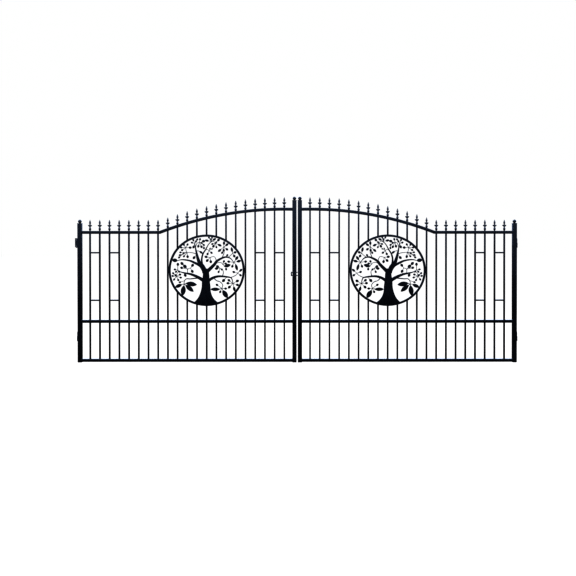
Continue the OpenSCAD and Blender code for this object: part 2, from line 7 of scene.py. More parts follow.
import logging
import math
from dataclasses import dataclass, field
from enum import Enum
from typing import Callable, Sequence

import bmesh
import bpy
import numpy as np
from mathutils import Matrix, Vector


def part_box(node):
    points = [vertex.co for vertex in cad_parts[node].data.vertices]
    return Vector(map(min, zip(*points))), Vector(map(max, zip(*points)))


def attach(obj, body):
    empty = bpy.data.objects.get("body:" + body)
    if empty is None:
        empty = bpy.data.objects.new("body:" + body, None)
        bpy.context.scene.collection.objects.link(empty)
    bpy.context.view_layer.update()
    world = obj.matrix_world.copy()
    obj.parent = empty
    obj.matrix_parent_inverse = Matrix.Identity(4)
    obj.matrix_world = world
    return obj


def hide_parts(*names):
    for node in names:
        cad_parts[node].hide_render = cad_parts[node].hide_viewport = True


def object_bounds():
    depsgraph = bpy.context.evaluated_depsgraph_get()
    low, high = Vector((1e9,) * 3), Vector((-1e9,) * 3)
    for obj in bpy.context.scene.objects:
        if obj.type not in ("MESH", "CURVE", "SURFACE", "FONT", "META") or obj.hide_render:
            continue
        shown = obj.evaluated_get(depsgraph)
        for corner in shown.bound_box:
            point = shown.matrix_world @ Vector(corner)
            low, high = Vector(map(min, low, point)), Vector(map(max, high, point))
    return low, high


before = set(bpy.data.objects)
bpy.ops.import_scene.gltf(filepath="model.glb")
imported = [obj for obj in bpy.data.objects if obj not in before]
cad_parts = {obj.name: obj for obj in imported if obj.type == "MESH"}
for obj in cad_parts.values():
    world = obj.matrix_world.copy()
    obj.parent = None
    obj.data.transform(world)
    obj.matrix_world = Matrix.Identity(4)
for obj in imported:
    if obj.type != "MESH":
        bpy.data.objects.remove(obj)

CAD_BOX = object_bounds()
log = logging.getLogger("gate")

Array = np.ndarray
Place = Callable[[Array], Array]
MM = 0.001


class Side(Enum):
    """Which of the two leaves a piece belongs to."""

    LEFT = "left"
    RIGHT = "right"

    @property
    def body(self) -> str:
        """Name of the moving body that this leaf is."""
        return f"{self.value}_leaf"


class Along(Enum):
    """The axis that a beam runs along: how far (a, b, c) is rolled to put c on it."""

    WIDTH = 1
    DEPTH = 2
    HEIGHT = 0


class Slot(Enum):
    """Material slots of the record."""

    BARS = "frame_bars"
    CASTINGS = "cast_fittings"
    PLATE = "medallion_plate"
    HINGE = "hinge_steel"
    LATCH = "latch_steel"


# ---- surfaces ----


@dataclass
class Surface:
    """A closed patch of mesh.

    Attributes:
        points: Places, one row each.
        quads: Four point numbers a row.
        tris: Three point numbers a row.
        edge: How much each point lies on a rounded corner, 0 to 1.
    """

    points: Array
    quads: Array
    tris: Array
    edge: Array

    def moved(self, place: Place) -> "Surface":
        """The same patch with its points put through a placing function."""
        return Surface(place(self.points), self.quads, self.tris, self.edge)

    def face_vectors(self) -> tuple[Array, Array]:
        """Area vectors of the faces: half the cross product of two of their lines.

        Returns:
            The vectors of the quads and those of the triangles.
        """
        p = self.points
        a, b, c, d = (p[self.quads[:, k]] for k in range(4))
        quad_vectors = 0.5 * np.cross(c - a, d - b)
        a, b, c = (p[self.tris[:, k]] for k in range(3))
        return quad_vectors, 0.5 * np.cross(b - a, c - a)

    def volume(self) -> float:
        """Signed volume: a third of the sum of face centre times face vector.

        Returns:
            The volume, below 0 where the faces point inwards.
        """
        quad_vectors, tri_vectors = self.face_vectors()
        middle = self.points.mean(0)
        quad_middles = self.points[self.quads].mean(1) - middle
        tri_middles = self.points[self.tris].mean(1) - middle
        total = (quad_middles * quad_vectors).sum() + (tri_middles * tri_vectors).sum()
        return float(total) / 3

    def outward(self) -> "Surface":
        """Turns the faces to point out of the solid.

        Returns:
            The same patch, or one with every face turned round.
        """
        if self.volume() >= 0:
            return self
        return Surface(self.points, self.quads[:, ::-1], self.tris[:, ::-1], self.edge)

    def normals(self) -> Array:
        """Works out point normals: the sum of the area vectors round each point.

        Wide flat faces then stay flat beside narrow rounded ones.

        Returns:
            Unit normals, one row a point.
        """
        quad_vectors, tri_vectors = self.face_vectors()
        total = np.zeros_like(self.points)
        for k in range(4):
            np.add.at(total, self.quads[:, k], quad_vectors)
        for k in range(3):
            np.add.at(total, self.tris[:, k], tri_vectors)
        length = np.linalg.norm(total, axis=1, keepdims=True)
        return total / np.maximum(length, 1e-12)


def joined(surfaces: Sequence[Surface]) -> Surface:
    """Puts patches into one, with their point numbers shifted.

    Args:
        surfaces: The patches.

    Returns:
        One patch that holds them all.
    """
    starts = np.cumsum([0] + [len(s.points) for s in surfaces[:-1]])
    return Surface(
        np.concatenate([s.points for s in surfaces]),
        np.concatenate([s.quads + n for s, n in zip(surfaces, starts)]),
        np.concatenate([s.tris + n for s, n in zip(surfaces, starts)]),
        np.concatenate([s.edge for s in surfaces]),
    )


def loft(rings: Array, edge: Array | float = 0.0, looped: bool = False) -> Surface:
    """Skins a stack of closed rings: S(i, j) = rings[i, j].

    Args:
        rings: Places by station, place on the ring and coordinate.
        edge: Corner values, one for all, one a ring point, or one a point.
        looped: Joins the last ring to the first. Otherwise each end is closed by a fan
            from its ring's middle.

    Returns:
        The closed surface.
    """
    count, around = rings.shape[:2]
    index = np.arange(count * around).reshape(count, around)
    lower = index if looped else index[:-1]
    upper = np.roll(index, -1, 0) if looped else index[1:]
    quads = np.stack([lower, np.roll(lower, -1, 1), np.roll(upper, -1, 1), upper], -1)
    points = rings.reshape(-1, 3)
    edges = np.broadcast_to(np.asarray(edge, float), (count, around)).ravel()
    tris = np.zeros((0, 3), int)
    if not looped:
        first, last, ends = index[0], index[-1], count * around
        points = np.concatenate([points, rings[[0, -1]].mean(1)])
        edges = np.append(edges, [0.0, 0.0])
        tris = np.concatenate([
            np.stack([np.full(around, ends), np.roll(first, -1), first], -1),
            np.stack([np.full(around, ends + 1), last, np.roll(last, -1)], -1),
        ])
    return Surface(points, quads.reshape(-1, 4), tris, edges)


def rounded_rings(width: Array, depth: Array, radius: Array, steps: int = 4) -> Array:
    """Rectangles with quarter-circle corners, one a station.

    A corner point is the corner's centre plus the radius times (cos t, sin t), with t
    over a quarter turn that starts a quarter turn later at each corner.

    Args:
        width: Size along the first coordinate at each station.
        depth: Size along the second coordinate at each station.
        radius: Corner radius at each station.
        steps: Steps in one corner.

    Returns:
        Places by station, place on the ring and coordinate (two).
    """
    turn = np.linspace(0, 0.5 * np.pi, steps + 1)
    start = 0.5 * np.pi * np.arange(4)
    angle = start[:, None] + turn
    signs = np.array([[1, 1], [-1, 1], [-1, -1], [1, -1]])
    half = 0.5 * np.stack([width, depth], -1) - radius[:, None]
    centres = half[:, None, :] * signs
    arcs = np.stack([np.cos(angle), np.sin(angle)], -1)
    rings = centres[:, :, None, :] + radius[:, None, None, None] * arcs
    return rings.reshape(len(width), -1, 2)


def corner_edge(steps: int = 4) -> Array:
    """Corner values round a rounded rectangle: sin 2t, so 1 half way round a corner and
    0 where it meets the flats."""
    return np.tile(np.sin(np.linspace(0, np.pi, steps + 1)), 4)


def turned_to(points: Array, along: Along) -> Array:
    """Rolls (a, b, c) so that c lies along an axis and the turn keeps its hand."""
    return np.roll(points, along.value, axis=-1)


def eased_ends(low: float, high: float, ease: float) -> tuple[Array, Array]:
    """Stations of a bar whose ends are rounded by quarter circles.

    Near an end the station is at ease * (1 - cos t) and is inset by ease * (1 - sin t).

    Args:
        low: Where the bar starts.
        high: Where it ends.
        ease: Radius of the rounding.

    Returns:
        Heights and insets.
    """
    turn = np.linspace(0, 0.5 * np.pi, 3)
    climb, inset = ease * (1 - np.cos(turn)), ease * (1 - np.sin(turn))
    return np.append(low + climb, high - climb[::-1]), np.append(inset, inset[::-1])


def stack(
    heights: Array, insets: Array, size: tuple[float, float], radius: float, steps: int = 4
) -> Array:
    """Rounded rectangles stacked along the third coordinate and drawn in by insets.

    Args:
        heights: Third coordinate of each station.
        insets: How far each station is drawn in.
        size: Width and depth with no inset.
        radius: Corner radius with no inset.
        steps: Steps in one corner.

    Returns:
        Places by station, place on the ring and coordinate.
    """
    least = 0.05 * MM
    width, depth = size[0] - 2 * insets, size[1] - 2 * insets
    flat = rounded_rings(width, depth, np.maximum(radius - insets, least), steps)
    climb = np.broadcast_to(heights[:, None, None], (*flat.shape[:2], 1))
    return np.concatenate([flat, climb], -1)


def beam(
    low: Sequence[float], high: Sequence[float], along: Along, radius: float, ease: float
) -> Surface:
    """A straight bar or block between two corners, rounded along and at its ends.

    Args:
        low: Lowest corner.
        high: Highest corner.
        along: Axis of the bar.
        radius: Radius of the long corners.
        ease: Radius of the end corners.

    Returns:
        The bar's surface.
    """
    start, end = (np.roll(np.asarray(p, float), -along.value) for p in (low, high))
    heights, insets = eased_ends(start[2], end[2], ease)
    rings = stack(heights, insets, tuple(end[:2] - start[:2]), radius)
    rings[..., :2] += 0.5 * (start[:2] + end[:2])
    return loft(turned_to(rings, along), corner_edge())


def smooth_line(knots: Sequence[Sequence[float]], steps: int) -> Array:
    """A line through knots by Catmull-Rom cubics.

    Each span is 0.5 (2b + (c - a) t + (2a - 5b + 4c - d) t^2 + (3b - a - 3c + d) t^3),
    where b and c are its ends, a and d their neighbours, and t runs from 0 to 1.

    Args:
        knots: The points to run through.
        steps: Steps in one span.

    Returns:
        Points on the line, the last knot included.
    """
    p = np.asarray(knots, float)
    padded = np.concatenate([p[:1], p, p[-1:]])
    a, b, c, d = (padded[k : len(p) - 1 + k, None] for k in range(4))
    t = (np.arange(steps) / steps)[None, :, None]
    line = 0.5 * (2 * b + (c - a) * t + (2 * a - 5 * b + 4 * c - d) * t**2
                  + (3 * b - a - 3 * c + d) * t**3)
    return np.concatenate([line.reshape(-1, p.shape[1]), p[-1:]])


def lathe(
    profile: Array, around: int = 32, squash: Array | float = 1.0, pinch: Array | float = 1.0
) -> Surface:
    """Turns a profile of (radius, height) about the third axis.

    A point is (r |cos a|^p sign, r s |sin a|^p sign, z), with squash s and pinch p.
    Squash flattens the section in depth and pinch above 1 draws it to a diamond.

    Args:
        profile: Radius and height, from the foot up. The end radii may be 0.
        around: Steps round.
        squash: Depth as a share of width, one for all or one a station.
        pinch: Power of the section, one for all or one a station.

    Returns:
        The closed surface.
    """
    radius = np.maximum(profile[:, :1], 0.01 * MM)
    angle = 2 * np.pi * np.arange(around) / around
    power = np.broadcast_to(np.asarray(pinch, float), len(profile))[:, None]
    depth = np.broadcast_to(np.asarray(squash, float), len(profile))[:, None]
    across = np.sign(np.cos(angle)) * np.abs(np.cos(angle)) ** power
    out = np.sign(np.sin(angle)) * np.abs(np.sin(angle)) ** power
    heights = np.broadcast_to(profile[:, 1:], across.shape)
    return loft(np.stack([radius * across, radius * depth * out, heights], -1))


def evened(ring: Array, count: int) -> Array:
    """Points spread evenly along a closed ring, by interpolation on its length.

    Args:
        ring: The ring's points, the first not repeated.
        count: How many points to spread.

    Returns:
        The points.
    """
    closed = np.concatenate([ring, ring[:1]])
    travel = np.append(0, np.cumsum(np.linalg.norm(np.diff(closed, axis=0), axis=1)))
    wanted = np.linspace(0, travel[-1], count, endpoint=False)
    return np.stack([np.interp(wanted, travel, closed[:, k]) for k in range(3)], -1)


def bead(ring: Array, radius: float, count: int = 32, ripples: int = 11) -> Surface:
    """A weld bead round a bar: a small tube along the ring where the bar meets its seat.

    The tube's radius is radius * (1 + 0.14 cos(ripples * s)), with s the turn round the
    ring. Its section is spanned by the way out from the ring's middle and the way across.

    Args:
        ring: The closed line that the bead follows.
        radius: Radius of the bead.
        count: Steps along it.
        ripples: Ripples along it.

    Returns:
        The closed bead.
    """
    line = evened(ring, count)
    tangent = np.roll(line, -1, 0) - np.roll(line, 1, 0)
    tangent /= np.linalg.norm(tangent, axis=1, keepdims=True)
    out = line - line.mean(0)
    out -= (out * tangent).sum(1, keepdims=True) * tangent
    out /= np.linalg.norm(out, axis=1, keepdims=True)
    across = np.cross(tangent, out)
    turn = 2 * np.pi * np.arange(count) / count
    swell = radius * (1 + 0.14 * np.cos(ripples * turn))[:, None, None]
    angle = 2 * np.pi * np.arange(6) / 6
    section = (np.cos(angle)[None, :, None] * out[:, None]
               + np.sin(angle)[None, :, None] * across[:, None])
    return loft(line[:, None] + swell * section, looped=True)


def fillet_bead(start: Sequence[float], end: Sequence[float], radius: float) -> Surface:
    """A straight weld bead between two points, rippled and drawn in at both ends.

    Its radius is radius * sqrt(sin(pi t)) * (1 + 0.12 cos(2 pi n t)), with one ripple
    every 3.5 mm.

    Args:
        start: One end.
        end: The other end.
        radius: Radius at the middle.

    Returns:
        The closed bead.
    """
    a, b = np.asarray(start, float), np.asarray(end, float)
    length = np.linalg.norm(b - a)
    ripples = max(2, round(length / (3.5 * MM)))
    t = np.linspace(0, 1, 4 * ripples + 1)
    swell = np.sqrt(np.clip(np.sin(np.pi * t), 0.02, 1)) * (
        1 + 0.12 * np.cos(2 * np.pi * ripples * t))
    way = (b - a) / length
    side = np.cross(way, [0.3, 0.5, 0.8] if abs(way[0]) > 0.9 else [1.0, 0.0, 0.0])
    side /= np.linalg.norm(side)
    angle = 2 * np.pi * np.arange(6) / 6
    section = (np.cos(angle)[:, None] * side + np.sin(angle)[:, None] * np.cross(way, side))
    line = a + t[:, None] * (b - a)
    return loft(line[:, None] + radius * swell[:, None, None] * section)


# ---- finishes ----


def shader_group(
    name: str, inputs: dict[str, tuple[str, float]], outputs: Sequence[str]
) -> bpy.types.NodeTree:
    """An empty shader node group with named sockets.

    Args:
        name: The group's name.
        inputs: Socket kind and default by input name.
        outputs: Names of the float outputs.

    Returns:
        The group, with its input and output nodes named "in" and "out".
    """
    tree = bpy.data.node_groups.new(name, "ShaderNodeTree")
    for label, (kind, default) in inputs.items():
        socket = tree.interface.new_socket(label, in_out="INPUT", socket_type=kind)
        if kind == "NodeSocketFloat":
            socket.default_value = default
    for label in outputs:
        tree.interface.new_socket(label, in_out="OUTPUT", socket_type="NodeSocketFloat")
    tree.nodes.new("NodeGroupInput").name = "in"
    tree.nodes.new("NodeGroupOutput").name = "out"
    return tree


@dataclass
class Wiring:
    """Adds and joins the nodes of one tree.

    Attributes:
        tree: The tree to add to.
    """

    tree: bpy.types.NodeTree

    def add(self, kind: str, links: dict | None = None, **settings: object) -> bpy.types.Node:
        """Adds a node.

        Args:
            kind: Blender's name of the node's type.
            links: By input name or number, a socket to join or a value to set.
            settings: The node's own properties.

        Returns:
            The node.
        """
        node = self.tree.nodes.new(kind)
        for key, value in settings.items():
            setattr(node, key, value)
        for key, value in (links or {}).items():
            if isinstance(value, bpy.types.NodeSocket):
                self.tree.links.new(value, node.inputs[key])
            else:
                node.inputs[key].default_value = value
        return node

    def math(self, operation: str, *values: object) -> bpy.types.NodeSocket:
        """A Math node's result."""
        links = dict(enumerate(values))
        return self.add("ShaderNodeMath", links, operation=operation).outputs[0]

    def noise(self, vector: object, scale: object, detail: float) -> bpy.types.NodeSocket:
        """A Noise node's value at a number of bumps to the metre."""
        links = {"Vector": vector, "Scale": scale, "Detail": detail}
        return self.add("ShaderNodeTexNoise", links).outputs[0]

    def ramp(self, value: object, low: float, high: float) -> bpy.types.NodeSocket:
        """A value stretched from its range to 0 to 1, smooth at both ends.

        Args:
            value: The value's socket.
            low: What becomes 0.
            high: What becomes 1.

        Returns:
            The stretched value's socket.
        """
        node = self.add(
            "ShaderNodeMapRange", {"Value": value, "From Min": low, "From Max": high},
            interpolation_type="SMOOTHSTEP")
        return node.outputs[0]

    def stretched(self, vector: object, scale: Sequence[float]) -> bpy.types.NodeSocket:
        """Coordinates scaled by a Mapping node."""
        return self.add("ShaderNodeMapping", {"Vector": vector, "Scale": scale}).outputs[0]

    def blend(self, factor: object, low: object, high: object) -> bpy.types.NodeSocket:
        """A colour between two, by the colour sockets of a Mix node.

        Args:
            factor: Socket or number, 0 for the first colour and 1 for the second.
            low: The first colour, a socket or three numbers.
            high: The second colour, a socket or three numbers.

        Returns:
            The mixed colour's socket.
        """
        node = self.add("ShaderNodeMix", {0: factor}, data_type="RGBA")
        for place, value in ((6, low), (7, high)):
            if isinstance(value, bpy.types.NodeSocket):
                self.tree.links.new(value, node.inputs[place])
            else:
                node.inputs[place].default_value = (*value, 1.0)
        return node.outputs[2]


class Effects:
    """The shared effect groups, each built once."""

    def __init__(self) -> None:
        """Builds every group."""
        self.peel = self.build_peel()
        self.wear_and_highlight = self.build_wear_and_highlight()
        self.dust_and_highlight = self.build_dust_and_highlight()
        self.rain = self.build_rain()

    def build_peel(self) -> bpy.types.NodeTree:
        """Powder coat's orange peel: two noises summed, and a slow drift of shade.

        Returns:
            The group, which puts out a height and a shade.
        """
        tree = shader_group("powder_peel", {
            "Vector": ("NodeSocketVector", 0.0),
            "Bumps to the metre": ("NodeSocketFloat", 300.0),
            "Fine share": ("NodeSocketFloat", 0.3),
        }, ["Height", "Shade"])
        w = Wiring(tree)
        given, out = tree.nodes["in"].outputs, tree.nodes["out"].inputs
        coarse = w.noise(given["Vector"], given["Bumps to the metre"], 1.0)
        finer = w.math("MULTIPLY", given["Bumps to the metre"], 3.7)
        fine = w.math("MULTIPLY", w.noise(given["Vector"], finer, 2.0), given["Fine share"])
        tree.links.new(w.math("ADD", coarse, fine), out["Height"])
        drift = w.noise(w.stretched(given["Vector"], (1.0, 1.0, 0.5)), 6.0, 4.0)
        tree.links.new(w.ramp(drift, 0.3, 0.7), out["Shade"])
        return tree

    def build_wear_and_highlight(self) -> bpy.types.NodeTree:
        """Thin coat and painted highlight on corners: the corner value broken up by noise.

        Returns:
            The group, which puts out a mask.
        """
        tree = shader_group("edge_wear_and_highlight", {
            "Vector": ("NodeSocketVector", 0.0),
            "Edge": ("NodeSocketFloat", 0.0),
            "Amount": ("NodeSocketFloat", 0.5),
        }, ["Mask"])
        w = Wiring(tree)
        given, out = tree.nodes["in"].outputs, tree.nodes["out"].inputs
        patches = w.ramp(w.noise(given["Vector"], 28.0, 6.0), 0.42, 0.66)
        nicks = w.ramp(w.noise(given["Vector"], 210.0, 3.0), 0.5, 0.72)
        broken = w.math("ADD", w.math("MULTIPLY", patches, 0.6), w.math("MULTIPLY", nicks, 0.5))
        corner = w.math("POWER", given["Edge"], 1.6)
        worn_and_highlit = w.math("MULTIPLY", w.math("MULTIPLY", corner, broken), given["Amount"])
        tree.links.new(w.math("MINIMUM", worn_and_highlit, 1.0), out["Mask"])
        return tree

    def build_dust_and_highlight(self) -> bpy.types.NodeTree:
        """Dust that settles on faces that look up, in uneven drifts, and a highlight painted
        there.

        Returns:
            The group, which puts out a mask.
        """
        tree = shader_group("settled_dust_and_highlight", {
            "Vector": ("NodeSocketVector", 0.0),
            "Amount": ("NodeSocketFloat", 0.5),
        }, ["Mask"])
        w = Wiring(tree)
        given, out = tree.nodes["in"].outputs, tree.nodes["out"].inputs
        normal = w.add("ShaderNodeNewGeometry").outputs["Normal"]
        up = w.ramp(w.add("ShaderNodeSeparateXYZ", {0: normal}).outputs[2], 0.35, 1.0)
        drift = w.ramp(w.noise(given["Vector"], 34.0, 5.0), 0.35, 0.75)
        speck = w.ramp(w.noise(given["Vector"], 700.0, 2.0), 0.45, 0.7)
        both = w.math("MULTIPLY", w.math("ADD", 0.35, drift), w.math("ADD", 0.5, speck))
        settled_and_lit = w.math("MULTIPLY", w.math("MULTIPLY", up, both), given["Amount"])
        tree.links.new(w.math("MINIMUM", settled_and_lit, 1.0), out["Mask"])
        return tree

    def build_rain(self) -> bpy.types.NodeTree:
        """Dried rain runs: noise drawn out downwards, thinned by a second noise.

        Returns:
            The group, which puts out a mask.
        """
        tree = shader_group("rain_runs", {
            "Vector": ("NodeSocketVector", 0.0),
            "Amount": ("NodeSocketFloat", 0.5),
        }, ["Mask"])
        w = Wiring(tree)
        given, out = tree.nodes["in"].outputs, tree.nodes["out"].inputs
        runs = w.noise(w.stretched(given["Vector"], (1.0, 1.0, 0.045)), 190.0, 3.0)
        breaks = w.ramp(w.noise(given["Vector"], 9.0, 3.0), 0.4, 0.65)
        mask = w.math("MULTIPLY", w.ramp(runs, 0.52, 0.7), breaks)
        tree.links.new(w.math("MULTIPLY", mask, given["Amount"]), out["Mask"])
        return tree


@dataclass(frozen=True)
class PowderCoat:
    """A sprayed and baked coat over steel or cast iron.

    Attributes:
        name: The material's name.
        colour: Colour of the coat.
        worn_and_highlit: Colour of the coat where it is thin on a corner, and of the highlight
            painted there.
        roughness: Roughness of a clean flat.
        sheen_level: Specular level of the coat.
        bumps: Orange-peel bumps to the metre.
        bump_depth: Strength of the orange peel.
        fine_share: Share of fine grain in the bumps.
        wear_and_highlight: Amount of corner wear and of the painted corner highlight.
        dust_and_highlight: Amount of settled dust and of the highlight painted on faces that
            look up.
        rain: Amount of dried rain runs.
        dust_and_highlight_colour: Colour of settled dust, also the highlight painted on faces
            that look up.
        rain_colour: Colour of a dried rain run.
        rain_share: How much of that colour a run gives.
        shade: How dark the slow drift makes the coat.
        bump_height: Height of the orange peel, in metres.
        lacquer: Weight and roughness of the clear skin that a baked coat forms.
    """

    name: str
    colour: tuple[float, float, float] = (0.0011, 0.0019, 0.0042)
    worn_and_highlit: tuple[float, float, float] = (0.011, 0.0125, 0.016)
    roughness: float = 0.18
    sheen_level: float = 0.5
    bumps: float = 300.0
    bump_depth: float = 0.09
    fine_share: float = 0.3
    wear_and_highlight: float = 0.55
    dust_and_highlight: float = 0.35
    rain: float = 0.4
    dust_and_highlight_colour: tuple[float, float, float] = (0.05, 0.048, 0.044)
    rain_colour: tuple[float, float, float] = (0.035, 0.037, 0.04)
    rain_share: float = 0.12
    shade: float = 0.72
    bump_height: float = 0.0006
    lacquer: tuple[float, float] = (0.06, 0.14)

    def material(self, effects: Effects) -> bpy.types.Material:
        """Builds the material.

        Args:
            effects: The shared effect groups.

        Returns:
            The material.
        """
        made = bpy.data.materials.new(self.name)
        made.use_nodes = True
        made.diffuse_color = (*self.colour, 1.0)
        tree = made.node_tree
        tree.nodes.clear()
        w = Wiring(tree)
        place = w.add("ShaderNodeTexCoord").outputs["Object"]
        edge = w.add("ShaderNodeAttribute", attribute_name="edge").outputs["Fac"]
        peel = w.add("ShaderNodeGroup", node_tree=effects.peel)
        worn_and_highlit = w.add("ShaderNodeGroup", node_tree=effects.wear_and_highlight)
        dust_and_highlight = w.add("ShaderNodeGroup", node_tree=effects.dust_and_highlight)
        rain = w.add("ShaderNodeGroup", node_tree=effects.rain)
        for node in (peel, worn_and_highlit, dust_and_highlight, rain):
            tree.links.new(place, node.inputs["Vector"])
        peel.inputs["Bumps to the metre"].default_value = self.bumps
        peel.inputs["Fine share"].default_value = self.fine_share
        tree.links.new(edge, worn_and_highlit.inputs["Edge"])
        for node, amount in ((worn_and_highlit, self.wear_and_highlight), (dust_and_highlight, self.dust_and_highlight), (rain, self.rain)):
            node.inputs["Amount"].default_value = amount
        deep = tuple(self.shade * c for c in self.colour)
        shaded = w.blend(peel.outputs["Shade"], deep, self.colour)
        # Corners lighter: thin coat, and a painted highlight on them.
        thinned_and_highlit = w.blend(worn_and_highlit.outputs["Mask"], shaded, self.worn_and_highlit)
        # Faces that look up lighter: settled dust, and a painted highlight.
        dusty_and_highlit = w.blend(dust_and_highlight.outputs["Mask"], thinned_and_highlit, self.dust_and_highlight_colour)
        dried = w.math("MULTIPLY", rain.outputs["Mask"], self.rain_share)
        colour = w.blend(dried, dusty_and_highlit, self.rain_colour)
        rough = w.math("MULTIPLY_ADD", peel.outputs["Shade"], 0.07, self.roughness)
        rough = w.math("MULTIPLY_ADD", dust_and_highlight.outputs["Mask"], 0.45, rough)
        rough = w.math("MULTIPLY_ADD", rain.outputs["Mask"], 0.16, rough)
        bump = w.add("ShaderNodeBump", {
            "Height": peel.outputs["Height"], "Strength": self.bump_depth,
            "Distance": self.bump_height})
        shader = w.add("ShaderNodeBsdfPrincipled", {
            "Base Color": colour, "Roughness": rough, "Normal": bump.outputs[0],
            "Specular IOR Level": self.sheen_level, "Coat Weight": self.lacquer[0],
            "Coat Roughness": self.lacquer[1]})
        w.add("ShaderNodeOutputMaterial", {"Surface": shader.outputs[0]})
        return made


# The worn colours and the wear and dust amounts also set painted highlights: on corners, and on
# faces that look up.
FINISHES = {
    Slot.BARS: PowderCoat("powder_coat_bars"),
    Slot.CASTINGS: PowderCoat(
        "powder_coat_castings", bumps=170.0, bump_depth=0.2, fine_share=0.8,
        roughness=0.26, wear_and_highlight=0.7, dust_and_highlight=0.5),
    Slot.PLATE: PowderCoat(
        "powder_coat_plate", bumps=340.0, bump_depth=0.06, roughness=0.18, wear_and_highlight=0.35,
        dust_and_highlight=0.4, rain=0.5),
    Slot.HINGE: PowderCoat(
        "powder_coat_hinges", bumps=260.0, roughness=0.3, wear_and_highlight=1.0, dust_and_highlight=0.5,
        worn_and_highlit=(0.04, 0.04, 0.042)),
    Slot.LATCH: PowderCoat(
        "powder_coat_latch", bumps=260.0, roughness=0.27, wear_and_highlight=1.0, dust_and_highlight=0.4,
        worn_and_highlit=(0.045, 0.045, 0.047)),
}


# ---- making pieces ----


@dataclass
class Workshop:
    """Turns surfaces into finished pieces of the scene.

    Attributes:
        materials: The finish of each slot.
        made: Names of the pieces made so far.
    """

    materials: dict[Slot, bpy.types.Material]
    made: list[str] = field(default_factory=list)

    def piece(
        self, name: str, surfaces: Sequence[Surface], slot: Slot, body: str,
        nodes: Sequence[str] = (), place: Place | None = None,
    ) -> bpy.types.Object:
        """Makes one piece from closed surfaces.

        Args:
            name: The piece's name.
            surfaces: Its surfaces.
            slot: The slot whose finish it takes.
            body: The body it moves with.
            nodes: The nodes that it stands for.
            place: Puts the surfaces' points into the shared frame.

        Returns:
            The piece.
        """
        placed = [s.moved(place) if place else s for s in surfaces]
        whole = joined([s.outward() for s in placed])
        mesh = bpy.data.meshes.new(name)
        mesh.from_pydata(whole.points, [], whole.quads.tolist() + whole.tris.tolist())
        mesh.shade_smooth()
        edge = mesh.attributes.new("edge", "FLOAT", "POINT")
        edge.data.foreach_set("value", whole.edge.astype(np.float32))
        mesh.normals_split_custom_set_from_vertices(whole.normals())
        return self.dress(bpy.data.objects.new(name, mesh), slot, body, nodes)

    def softened(
        self, name: str, node: str, slot: Slot, body: str, width: float
    ) -> bpy.types.Object:
        """Copies a node, merges its loose faces and rounds its sharp edges.

        Args:
            name: The piece's name.
            node: The node to copy, which the piece stands for.
            slot: The slot whose finish it takes.
            body: The body it moves with.
            width: Width of the rounding.

        Returns:
            The piece.
        """
        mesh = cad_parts[node].data.copy()
        mesh.name = name
        work = bmesh.new()
        work.from_mesh(mesh)
        bmesh.ops.remove_doubles(work, verts=work.verts, dist=0.002 * MM)
        bmesh.ops.dissolve_limit(
            work, angle_limit=math.radians(0.4), verts=work.verts, edges=work.edges)
        work.to_mesh(mesh)
        work.free()
        mesh.materials.clear()
        mesh.shade_smooth()
        made = bpy.data.objects.new(name, mesh)
        bevel = made.modifiers.new("rounding", "BEVEL")
        bevel.width, bevel.segments = width, 2
        bevel.limit_method, bevel.angle_limit = "ANGLE", math.radians(32)
        bevel.miter_outer = "MITER_ARC"
        bevel.harden_normals = True
        made.modifiers.new("flats", "WEIGHTED_NORMAL").keep_sharp = True
        return self.dress(made, slot, body, [node])

    def dress(
        self, made: bpy.types.Object, slot: Slot, body: str, nodes: Sequence[str]
    ) -> bpy.types.Object:
        """Links a piece, gives it its finish and ties it to its body.

        Args:
            made: The piece.
            slot: The slot whose finish it takes.
            body: The body it moves with.
            nodes: The nodes that it stands for.

        Returns:
            The same piece.
        """
        bpy.context.scene.collection.objects.link(made)
        made.data.materials.append(self.materials[slot])
        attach(made, body)
        if nodes:
            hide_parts(*nodes)
        self.made.append(made.name)
        log.info("%s: %d faces, rides on %s", made.name, len(made.data.polygons), body)
        return made


# ---- the leaf ----


